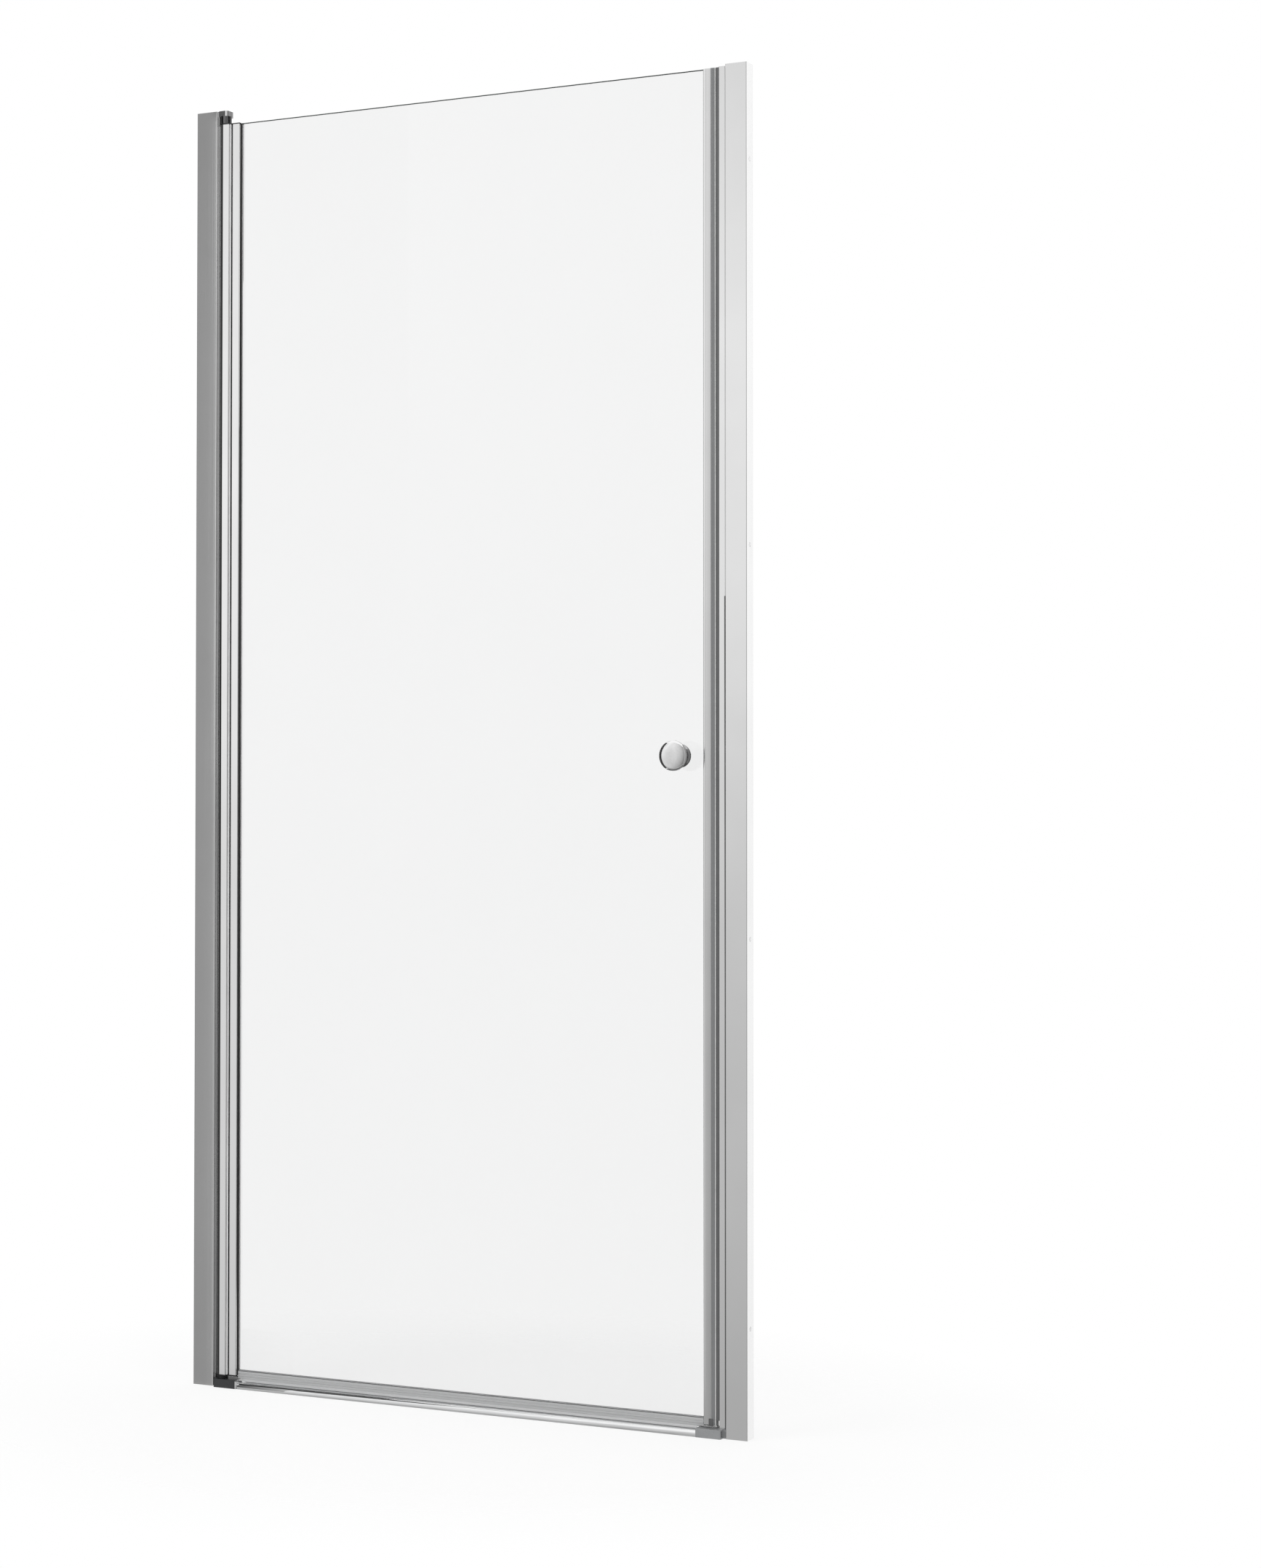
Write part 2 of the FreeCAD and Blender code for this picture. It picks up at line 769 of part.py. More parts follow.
def drip_seal():
    """Seal along the foot of the glass: a grip, and two wipers between the end blocks."""
    inner = glass_half + seal_glass_gap
    base_top = drip_floor + drip_base
    grip = [
        (-drip_outer, drip_floor),
        (drip_outer, drip_floor),
        (drip_outer, drip_flange_height, seal_round),
        (inner, drip_flange_height, seal_round),
        (inner, base_top),
        (-inner, base_top),
        (-inner, drip_flange_height, seal_round),
        (-drip_outer, drip_flange_height, seal_round),
    ]
    seal = lengthwise(grip, clamp_lip_x + drip_side_gap, seal_left - drip_side_gap)
    block_corner = math.hypot(hinge_plate_x - pivot_x, end_block_front + pivot_y)
    left = pivot_x + block_corner + fin_end_gap
    right = strike_block_inner - fin_end_gap
    front_fin = fin(-fin_root, -fin_front_tip, left, right)
    rear_fin = fin(fin_root, fin_rear_tip, left, right)
    return seal.fuse(front_fin).fuse(rear_fin).removeSplitter()


def knob():
    """The knob on the room side, turned about an axis along Y."""
    face_y = -glass_half - knob_washer_thickness

    def spot(radius, length):
        """A point of the turned outline."""
        return FreeCAD.Vector(knob_x + radius, face_y - length, knob_height)

    flare_middle = spot((knob_neck_radius + knob_flare_radius) / 2 - knob_flare_sag,
                        (knob_neck_length + knob_flare_length) / 2)
    dome_rise = knob_length - knob_face_edge
    dome_radius = (knob_face_radius ** 2 + dome_rise ** 2) / (dome_rise * 2)
    half_turn = math.asin(knob_face_radius / dome_radius) / 2
    dome_middle = spot(dome_radius * math.sin(half_turn), knob_length - dome_radius * (1 - math.cos(half_turn)))
    straight = [
        spot(0, 0),
        spot(knob_collar_radius, 0),
        spot(knob_collar_radius, knob_collar_length),
        spot(knob_neck_radius, knob_neck_length),
    ]
    rim = [
        spot(knob_flare_radius, knob_flare_length),
        spot(knob_radius, knob_rim_back),
        spot(knob_radius, knob_rim_front),
        spot(knob_face_radius, knob_face_edge),
    ]
    centre = spot(0, knob_length)
    edges = Part.makePolygon(straight).Edges
    edges.append(Part.Arc(straight[-1], flare_middle, rim[0]).toShape())
    edges += Part.makePolygon(rim).Edges
    edges.append(Part.Arc(rim[-1], dome_middle, centre).toShape())
    edges.append(Part.LineSegment(centre, straight[0]).toShape())
    turned = Part.Face(Part.Wire(edges)).revolve(straight[0], BACK, 360)
    hole_depth = knob_stud_bite + knob_stud_hole_spare
    hole_start = FreeCAD.Vector(knob_x, face_y + overrun, knob_height)
    return turned.cut(rod(knob_stud_radius + knob_stud_gap, hole_start, BACK * -1, hole_depth + overrun))


def knob_back_cap(front):
    """Round cap on the shower side, which the stud draws against the glass."""
    start = FreeCAD.Vector(knob_x, front, knob_height)
    cap = rod(knob_cap_radius, start, BACK, knob_cap_length)
    cap = round_edges(cap, knob_cap_round, lambda spot: near(spot.y, front + knob_cap_length))
    hole_depth = knob_cap_bite + knob_stud_hole_spare
    return cap.cut(rod(knob_stud_radius + knob_stud_gap, start - BACK * overrun, BACK, hole_depth + overrun))


def knob_ring(radius, front, rear):
    """A ring round the knob's stud."""
    start = FreeCAD.Vector(knob_x, front, knob_height)
    hole_start = start - BACK * overrun
    hole = rod(knob_stud_radius + knob_stud_gap, hole_start, BACK, rear - front + overrun * 2)
    return rod(radius, start, BACK, rear - front).cut(hole)


def save(name, *solids):
    """Write one node, of one solid or a group of like ones."""
    shape = solids[0] if len(solids) == 1 else Part.makeCompound(list(solids))
    shape.exportStep(os.path.join("parts", name + ".step"))


def save_frame():
    """Write the pieces that stay on the walls and the tray."""
    block_seats = block_screw_places(end_screw_height)
    bracket_seats = block_screw_places(bracket_screw_height)
    hinge_locks = lock_screw_places(-1)
    hinge_channel = wall_channel(hinge_side_height, hinge_channel_flange)
    hinge_channel = drilled(hinge_channel, hinge_locks + block_seats + bracket_seats, lock_screw_length)
    strike_channel = wall_channel(strike_side_height, strike_channel_flange)
    strike_channel = drilled(strike_channel, hinge_locks + block_seats, lock_screw_length)
    save("hinge_wall_channel", hinge_channel)
    save("strike_wall_channel", mirrored(strike_channel))

    strike_jamb_top = strike_side_height - jamb_top_gap
    hinge_side = jamb(hinge_nose_x, hinge_line_inset, end_block_height, bracket_floor)
    strike_side = jamb(-strike_nose_x, strike_line_inset, end_block_height, strike_jamb_top)
    save("hinge_jamb", drilled(hinge_side, hinge_locks, lock_screw_length))
    save("strike_jamb", mirrored(drilled(strike_side, hinge_locks, lock_screw_length)))
    gasket_face_x = hinge_nose_x + gasket_face
    save("hinge_gasket", nose_insert(
        hinge_nose_x, gasket_face_x, -gasket_front, gasket_rear, end_block_height, bracket_floor
    ))
    carrier, magnet = strike_carrier()
    save("strike_seal_carrier", carrier)
    save("strike_magnet", magnet)

    save("top_pivot_bracket", top_bracket())
    save("top_pivot_pin", top_pin())
    save("top_bracket_screws", *[screw(seat, BACK * -1, tongue_screw_length) for seat in bracket_seats])

    save("bottom_pivot_block", pivot_block())
    save("bottom_pivot_pin", pivot_pin(end_hollow_wall, profile_bottom + bush_length - pin_collar_gap))
    save("pivot_block_plate", block_plate())
    save("threshold_bar", threshold())
    save("threshold_end_cap", mirrored(end_block(-strike_block_outer, -strike_block_inner)))
    left_screws = [screw(seat, BACK * -1, tongue_screw_length) for seat in block_seats]
    save("end_block_screws", *left_screws, *[mirrored(piece) for piece in left_screws])
    save("threshold_corner_dam", corner_dam())

    lock_seats = hinge_locks + lock_screw_places(1)
    save("jamb_lock_screws", *[screw(seat, BACK * -1, lock_screw_length) for seat in lock_seats])
    save("lock_screw_covers", *[screw_cover(seat) for seat in lock_seats])
    save("strike_channel_plug", channel_plug())


def save_leaf():
    """Write the pieces that swing with the glass."""
    save("glass_panel", glass_panel())
    save("hinge_profile", hinge_profile())
    save("glass_clamp_strip", clamp_strip())
    save("clamp_groove_strip", groove_strip())
    save("front_clamp_gasket", clamp_gasket(front_lip_height))
    save("rear_clamp_gasket", clamp_gasket(rear_lip_height).mirror(ORIGIN, BACK))
    save("clamp_screws", *[screw(seat, BACK * -1, clamp_screw_length) for seat in clamp_screw_places()])
    save("hinge_top_cap", profile_cap(profile_top, leaf_top, pin_radius + cap_hole_gap))
    save("hinge_bottom_cap", profile_cap(leaf_bottom, profile_bottom, barrel_bore))
    save("top_pivot_bush", bored(bush(profile_top - bush_length, profile_top), profile_top - bush_length, profile_top))
    save("bottom_pivot_bush", bottom_bush())
    save("side_seal", side_seal())
    save("side_seal_magnet", side_magnet())
    save("drip_seal", drip_seal())

    washer_face = glass_half + knob_washer_thickness
    stud_start = FreeCAD.Vector(knob_x, -washer_face - knob_stud_bite, knob_height)
    stud_length = washer_face * 2 + knob_stud_bite + knob_cap_bite
    save("outer_knob", knob())
    save("knob_back_cap", knob_back_cap(washer_face))
    save("knob_stud", rod(knob_stud_radius, stud_start, BACK, stud_length))
    front_washer = knob_ring(knob_washer_radius, -washer_face, -glass_half)
    save("knob_washers", front_washer, knob_ring(rear_washer_radius, glass_half, washer_face))
    save("knob_sleeve", knob_ring(knob_hole_radius - knob_sleeve_gap, -glass_half, glass_half))


os.makedirs("parts", exist_ok=True)
save_frame()
save_leaf()
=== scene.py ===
import logging
import math
from dataclasses import dataclass
from enum import Enum

import bmesh
import bpy
from bmesh.types import BMesh, BMVert
from bpy.types import Material, Mesh, Node, Object
from mathutils import Matrix, Vector


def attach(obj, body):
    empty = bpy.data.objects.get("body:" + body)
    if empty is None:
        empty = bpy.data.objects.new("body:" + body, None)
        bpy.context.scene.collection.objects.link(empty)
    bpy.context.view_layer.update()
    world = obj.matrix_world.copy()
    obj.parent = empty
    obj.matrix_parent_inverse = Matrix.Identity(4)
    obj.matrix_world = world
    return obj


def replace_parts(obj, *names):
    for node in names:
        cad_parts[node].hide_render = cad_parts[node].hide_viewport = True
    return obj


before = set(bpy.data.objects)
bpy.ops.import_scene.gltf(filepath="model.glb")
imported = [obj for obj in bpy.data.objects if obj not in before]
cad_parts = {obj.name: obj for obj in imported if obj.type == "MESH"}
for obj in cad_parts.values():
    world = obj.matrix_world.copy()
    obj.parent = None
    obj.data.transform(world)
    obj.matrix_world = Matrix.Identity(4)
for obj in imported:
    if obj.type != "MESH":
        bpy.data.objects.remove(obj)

log = logging.getLogger("shower_door")

Span = tuple[float, float]
Point = tuple[float, float]
Triple = tuple[float, float, float]
Colour = Triple
Loop = list[Point]
Ring = list[BMVert]
Socket = bpy.types.NodeSocket
Marks = tuple[Socket, Socket, Socket]

MM = 0.001
NOISE_REACH: Span = (0.3, 0.7)
SHARP_ANGLE = math.radians(32.0)
JOIN_REACH = 0.000001
FACE_MARK, EDGE_MARK = 0, 1


class Body(Enum):
    """The two rigid bodies of the door."""

    FRAME = "frame"
    LEAF = "leaf"


class Run(Enum):
    """Direction of a drawn or turned piece, as the order of its measures in X, Y and Z."""

    UPRIGHT = (0, 1, 2)
    LENGTHWISE = (2, 0, 1)
    THROUGH_GLASS = (0, 2, 1)

    def place(self, across: float, beside: float, along: float) -> Triple:
        """Place in X, Y and Z of a point given across, beside and along the run."""
        return tuple((across, beside, along)[index] for index in self.value)


class Grain(Enum):
    """Scale of a finish's marks along X, Y and Z, in marks per metre."""

    UPRIGHT = (1600.0, 1600.0, 3.0)
    LENGTHWISE = (3.0, 1600.0, 1600.0)
    EVEN = (420.0, 420.0, 420.0)
    CLOUDY = (45.0, 45.0, 45.0)
    FINE = (1800.0, 1800.0, 1800.0)
    BROAD = (9.0, 9.0, 9.0)


def feed(node: Node, values: dict[str, object]) -> None:
    """Feed a node's inputs.

    Args:
        node: The node.
        values: Constants or other nodes' outputs, by the inputs' names with underscores for spaces.
    """
    for key, value in values.items():
        target = node.inputs[key.replace("_", " ")]
        if isinstance(value, Socket):
            node.id_data.links.new(value, target)
        else:
            target.default_value = value


def shade(colour: Colour, factor: float) -> Colour:
    """A colour made lighter or darker."""
    return tuple(min(1.0, part * factor) for part in colour)


class ShaderSheet:
    """Builds the node tree of one material around its principled shader."""

    def __init__(self, name: str) -> None:
        """Start a material with nothing but its shader and output.

        Args:
            name: The material's name.
        """
        self.material = bpy.data.materials.new(name)
        self.material.use_nodes = True
        self.tree = self.material.node_tree
        self.shader = self.tree.nodes["Principled BSDF"]

    def add(self, kind: str, **values: object) -> Node:
        """Add a node.

        Args:
            kind: The node's type name.
            values: What feeds its inputs.

        Returns:
            The new node.
        """
        node = self.tree.nodes.new(kind)
        feed(node, values)
        return node

    def feed_shader(self, **values: object) -> None:
        """Feed the shader's own inputs."""
        feed(self.shader, values)

    def place(self, grain: Triple) -> Socket:
        """Object coordinates, stretched to a number of marks per metre along X, Y and Z."""
        where = self.add("ShaderNodeTexCoord").outputs["Object"]
        return self.add("ShaderNodeMapping", Vector=where, Scale=grain).outputs["Vector"]

    def noise(self, grain: Grain, detail: float = 3.0) -> Socket:
        """Cloudy variation from 0 to 1, with layers of detail."""
        where = self.place(grain.value)
        return self.add("ShaderNodeTexNoise", Vector=where, Scale=1.0, Detail=detail).outputs["Fac"]

    def cells(self, grain: Grain) -> Socket:
        """Rounded pits, as on a sparked mould, by the distance to the nearest one's centre."""
        return self.add("ShaderNodeTexVoronoi", Vector=self.place(grain.value), Scale=1.0).outputs["Distance"]

    def spread(self, value: Socket, span: Span, source: Span = NOISE_REACH) -> Socket:
        """Map a value to a span, from the range that it comes from."""
        ends = dict(zip(("From_Min", "From_Max", "To_Min", "To_Max"), source + span))
        return self.add("ShaderNodeMapRange", Value=value, **ends).outputs["Result"]

    def bump(self, height: Socket, strength: float, depth: float) -> None:
        """Raise the surface by a height, which has a depth in metres and shows with a strength."""
        node = self.add("ShaderNodeBump", Height=height, Strength=strength, Distance=depth)
        self.feed_shader(Normal=node.outputs["Normal"])

    def paint(self, value: Socket, colour: Colour, shades: Span) -> None:
        """Vary the shader's colour between a darker and a lighter shade.

        Args:
            value: What it varies with, around 0.5.
            colour: The colour.
            shades: Factors of the two shades.
        """
        node = self.add("ShaderNodeValToRGB", Fac=value)
        for stop, position, factor in zip(node.color_ramp.elements, NOISE_REACH, shades):
            stop.position = position
            stop.color = (*shade(colour, factor), 1.0)
        self.feed_shader(Base_Color=node.outputs["Color"])


@dataclass(frozen=True)
class Finish:
    """What a piece is made of, with marks that vary its surface."""

    name: str
    colour: Colour
    roughness: Span
    shades: Span = (0.95, 1.05)
    depth: float = 0.00002
    relief: float = 0.15
    metallic: float = 0.0

    def marks(self, sheet: ShaderSheet) -> Marks:
        """What the colour, the roughness and the relief vary with."""
        raise NotImplementedError

    def constants(self) -> dict[str, float]:
        """What is the same all over the surface."""
        return {"Metallic": self.metallic}

    def material(self) -> Material:
        """Build the finish.

        Returns:
            The finished material.
        """
        sheet = ShaderSheet(self.name)
        tone, wear, height = self.marks(sheet)
        sheet.feed_shader(**self.constants(), Roughness=sheet.spread(wear, self.roughness))
        sheet.paint(tone, self.colour, self.shades)
        sheet.bump(height, self.relief, self.depth)
        return sheet.material


@dataclass(frozen=True)
class ExtrudedMetal(Finish):
    """Anodised aluminium with die lines along its length."""

    depth: float = 0.000004
    relief: float = 0.25
    metallic: float = 1.0
    grain: Grain = Grain.UPRIGHT

    def marks(self, sheet: ShaderSheet) -> Marks:
        """Broad clouds in the colour, and die lines in the rest."""
        lines = sheet.noise(self.grain, detail=2.0)
        return sheet.noise(Grain.BROAD), lines, lines


@dataclass(frozen=True)
class PlatedMetal(Finish):
    """Polished plating with faint wipe marks."""

    shades: Span = (0.97, 1.03)
    depth: float = 0.0000004
    relief: float = 0.1
    metallic: float = 1.0

    def marks(self, sheet: ShaderSheet) -> Marks:
        """Smears."""
        return (sheet.noise(Grain.EVEN, detail=4.0),) * 3


@dataclass(frozen=True)
class MouldedPlastic(Finish):
    """Moulded plastic or rubber with a fine sparked surface."""

    def marks(self, sheet: ShaderSheet) -> Marks:
        """Clouds, and fine pits in the relief."""
        clouds = sheet.noise(Grain.CLOUDY)
        return clouds, clouds, sheet.cells(Grain.FINE)


@dataclass(frozen=True)
class ClearVinyl(Finish):
    """Clear extruded vinyl, slightly cloudy, with drawn lines."""

    shades: Span = (0.93, 1.05)
    depth: float = 0.00001
    relief: float = 0.2
    clarity: float = 0.5
    refraction: float = 1.46
    grain: Grain = Grain.UPRIGHT

    def marks(self, sheet: ShaderSheet) -> Marks:
        """Drawn lines."""
        return (sheet.noise(self.grain, detail=2.0),) * 3

    def constants(self) -> dict[str, float]:
        """Clear in part."""
        return {"Transmission_Weight": self.clarity, "IOR": self.refraction}


@dataclass(frozen=True)
class PaneGlass(Finish):
    """Clear toughened glass with faint roller waves."""

    shades: Span = (0.995, 1.0)
    depth: float = 0.00001
    relief: float = 0.05
    refraction: float = 1.5
    gloss: float = 0.35

    def marks(self, sheet: ShaderSheet) -> Marks:
        """Broad waves."""
        return (sheet.noise(Grain.BROAD, detail=5.0),) * 3

    def constants(self) -> dict[str, float]:
        """Clear all through."""
        return {"Transmission_Weight": 1.0, "IOR": self.refraction, "Specular_IOR_Level": self.gloss}


SATIN_PROFILE = ExtrudedMetal("satin_profile", (0.92, 0.92, 0.92), (0.05, 0.10), (0.98, 1.02), 0.000002)
BRIGHT_PROFILE = ExtrudedMetal("bright_profile", (0.93, 0.93, 0.93), (0.03, 0.06), (0.98, 1.02), 0.000001)
BRIGHT_BAR = ExtrudedMetal("bright_bar", (0.90, 0.905, 0.91), (0.04, 0.08), depth=0.000002, grain=Grain.LENGTHWISE)
# Dark strips that paint the shadow in the gaps between the wall channels' lips and the jambs.
PAINTED_SHADOW_GREY = ExtrudedMetal("grey_painted_shadow", (0.45, 0.45, 0.45), (0.15, 0.25))
PAINTED_SHADOW_DARK = ExtrudedMetal("dark_painted_shadow", (0.28, 0.28, 0.28), (0.15, 0.25))
SILVER_SEAL = ExtrudedMetal("silvered_seal", (0.80, 0.80, 0.80), (0.08, 0.14), (0.97, 1.03), 0.000002)
CHROME = PlatedMetal("polished_chrome", (0.92, 0.92, 0.925), (0.02, 0.05))
KNOB_CHROME = PlatedMetal("knob_chrome", (0.92, 0.92, 0.922), (0.06, 0.12))
# Darker copy of the knob's chrome, painted shade behind the knob's rim.
KNOB_PAINTED_SHADE_CHROME = PlatedMetal("knob_painted_shade_chrome", (0.48, 0.48, 0.482), (0.10, 0.18))
BURNISHED_STEEL = PlatedMetal("burnished_steel", (0.16, 0.16, 0.163), (0.10, 0.20))
BRIGHT_ZINC = PlatedMetal("bright_zinc", (0.90, 0.90, 0.90), (0.08, 0.16))
STAINLESS = PlatedMetal("stainless_steel", (0.62, 0.62, 0.63), (0.18, 0.34))
BLACK_RUBBER = MouldedPlastic("black_rubber", (0.02, 0.02, 0.02), (0.55, 0.75))
BLACK_MOULDING = MouldedPlastic("black_moulding", (0.015, 0.015, 0.016), (0.35, 0.5))
GREY_MOULDING = MouldedPlastic("grey_moulding", (0.25, 0.255, 0.26), (0.2, 0.32))
DARK_MOULDING = MouldedPlastic("dark_grey_moulding", (0.035, 0.036, 0.038), (0.2, 0.32))
DARK_CARRIER = MouldedPlastic("dark_carrier", (0.10, 0.101, 0.103), (0.3, 0.42))
PALE_VINYL = MouldedPlastic("pale_vinyl", (0.75, 0.75, 0.74), (0.4, 0.6))
PALE_GASKET = MouldedPlastic("pale_gasket", (0.86, 0.86, 0.86), (0.3, 0.45))
MAGNET = MouldedPlastic("magnet_strip", (0.05, 0.05, 0.052), (0.4, 0.6))
CLEAR_CHAMBER = ClearVinyl("clear_chamber", (0.34, 0.345, 0.35), (0.12, 0.2))
MILKY_VINYL = ClearVinyl("milky_vinyl", (0.86, 0.86, 0.86), (0.2, 0.3), clarity=0.75, grain=Grain.EVEN)
CLEAR_DRIP = ClearVinyl("clear_drip", (0.64, 0.645, 0.65), (0.15, 0.3), clarity=0.4, grain=Grain.LENGTHWISE)
GLASS = PaneGlass("clear_glass", (0.905, 0.907, 0.907), (0.0, 0.01))
GLASS_EDGE = MouldedPlastic("seamed_glass_edge", (0.035, 0.048, 0.044), (0.2, 0.35), depth=0.00001)


def rounded(corners: list[Triple], steps: int = 6) -> Loop:
    """Points of a closed outline with rounded corners.

    Args:
        corners: Place and radius of each corner, in millimetres.
        steps: Pieces that each rounded corner is made of.

    Returns:
        The points of the outline.
    """
    points: Loop = []
    for index, (a, b, radius) in enumerate(corners):
        here = Vector((a, b))
        if radius == 0.0:
            points.append((a, b))
            continue
        back = (Vector(corners[index - 1][:2]) - here).normalized()
        ahead = (Vector(corners[(index + 1) % len(corners)][:2]) - here).normalized()
        half = back.angle(ahead) / 2
        centre = here + (back + ahead).normalized() * (radius / math.sin(half))
        start = here + back * (radius / math.tan(half)) - centre
        end = here + ahead * (radius / math.tan(half)) - centre
        for step in range(steps + 1):
            points.append(tuple(centre + start.slerp(end, step / steps)))
    return points


def slab(sides: Span, faces: Span, rounds: tuple[float, float, float, float]) -> Loop:
    """Outline between two sides and two faces, with each corner's radius from the front left round."""
    corners = [(sides[0], faces[0]), (sides[1], faces[0]), (sides[1], faces[1]), (sides[0], faces[1])]
    return rounded([(*corner, radius) for corner, radius in zip(corners, rounds)])


def smooth_arc(start: Point, bend: Point, end: Point, steps: int = 8) -> Loop:
    """Points of a curve that leaves one point towards a bend and arrives at another.

    Args:
        start: First point.
        bend: Point that the curve is drawn towards.
        end: Last point.
        steps: Pieces of the curve.

    Returns:
        The points, without the first.
    """
    points: Loop = []
    for step in range(1, steps + 1):
        t = step / steps
        points.append(tuple(
            first * (1 - t) ** 2 + middle * 2 * t * (1 - t) + last * t ** 2
            for first, middle, last in zip(start, bend, end)
        ))
    return points


def ring_of(shape: BMesh, spots: list[Triple]) -> Ring:
    """New points of a mesh, from places in millimetres."""
    return [shape.verts.new(Vector(spot) * MM) for spot in spots]


def join_rings(shape: BMesh, first: Ring, second: Ring, mark: int = FACE_MARK) -> None:
    """Close the band between two rings of points.

    Args:
        shape: The mesh being built.
        first: One ring.
        second: The other ring.
        mark: Material number of the band.
    """
    for index in range(len(first)):
        after = (index + 1) % len(first)
        face = shape.faces.new((first[index], first[after], second[after], second[index]))
        face.material_index = mark


def closed_mesh(shape: BMesh) -> Mesh:
    """Finish a mesh, with its doubled points joined and its faces turned outwards.

    Args:
        shape: The mesh being built, which is freed.

    Returns:
        The mesh.
    """
    bmesh.ops.remove_doubles(shape, verts=shape.verts, dist=JOIN_REACH)
    bmesh.ops.recalc_face_normals(shape, faces=shape.faces)
    mesh = bpy.data.meshes.new("piece")
    shape.to_mesh(mesh)
    shape.free()
    return mesh


def lofted(sections: list[list[Triple]]) -> Mesh:
    """A skin over sections with equal numbers of points, closed at both ends.

    Args:
        sections: Points of each section, in millimetres.

    Returns:
        The mesh, in metres.
    """
    shape = bmesh.new()
    rings = [ring_of(shape, section) for section in sections]
    for low, high in zip(rings, rings[1:]):
        join_rings(shape, low, high)
    for ring in (rings[0], rings[-1]):
        shape.faces.new(ring)
    return closed_mesh(shape)


def turned(outline: Loop, axes: list[Point], run: Run, segments: int) -> Mesh:
    """A piece turned about an axis, or a row of such pieces.

    Args:
        outline: Radius of each point and its place along the axis, from axis to axis, in millimetres.
        axes: Where each axis crosses the plane across it, in millimetres.
        run: Direction of the axes.
        segments: Sides of the turned form.

    Returns:
        The mesh, in metres.
    """
    shape = bmesh.new()
    for across, beside in axes:
        path = ring_of(shape, [run.place(across + radius, beside, along) for radius, along in outline])
        edges = [shape.edges.new(pair) for pair in zip(path, path[1:])]
        centre = Vector(run.place(across, beside, 0.0)) * MM
        bmesh.ops.spin(
            shape, geom=path + edges, cent=centre, axis=run.place(0.0, 0.0, 1.0), angle=math.tau,
            steps=segments, use_merge=True,
        )
    return closed_mesh(shape)


def set_piece(name: str, mesh: Mesh, body: Body, finishes: tuple[Finish, ...]) -> Object:
    """Stand a new piece in the scene.

    Args:
        name: The piece's name.
        mesh: Its mesh, in metres.
        body: The body that it moves with.
        finishes: Its finishes, in the order of the mesh's material numbers.

    Returns:
        The piece.
    """
    mesh.name = name
    for finish in finishes:
        mesh.materials.append(finish.material())
    mesh.shade_smooth()
    mesh.set_sharp_from_angle(angle=SHARP_ANGLE)
    piece = bpy.data.objects.new(name, mesh)
    bpy.context.scene.collection.objects.link(piece)
    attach(piece, body.value)
    log.info("built %s in %s", name, ", ".join(finish.name for finish in finishes))
    return piece


def set_strip(
    name: str, outline: Loop, span: Span, finish: Finish, run: Run = Run.UPRIGHT,
    body: Body = Body.LEAF,
) -> Object:
    """Stand a strip in the scene, with one outline all along a span in millimetres."""
    rings = [[run.place(a, b, along) for a, b in outline] for along in span]
    return set_piece(name, lofted(rings), body, (finish,))


def dress(finish: Finish, *nodes: str) -> None:
    """Give CAD nodes a finish.

    Args:
        finish: What they are made of.
        nodes: Their names.
    """
    material = finish.material()
    for name in nodes:
        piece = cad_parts[name]
        if not piece.material_slots:
            piece.data.materials.append(material)
        for slot in piece.material_slots:
            slot.material = material
        log.info("dressed %s in %s", name, finish.name)


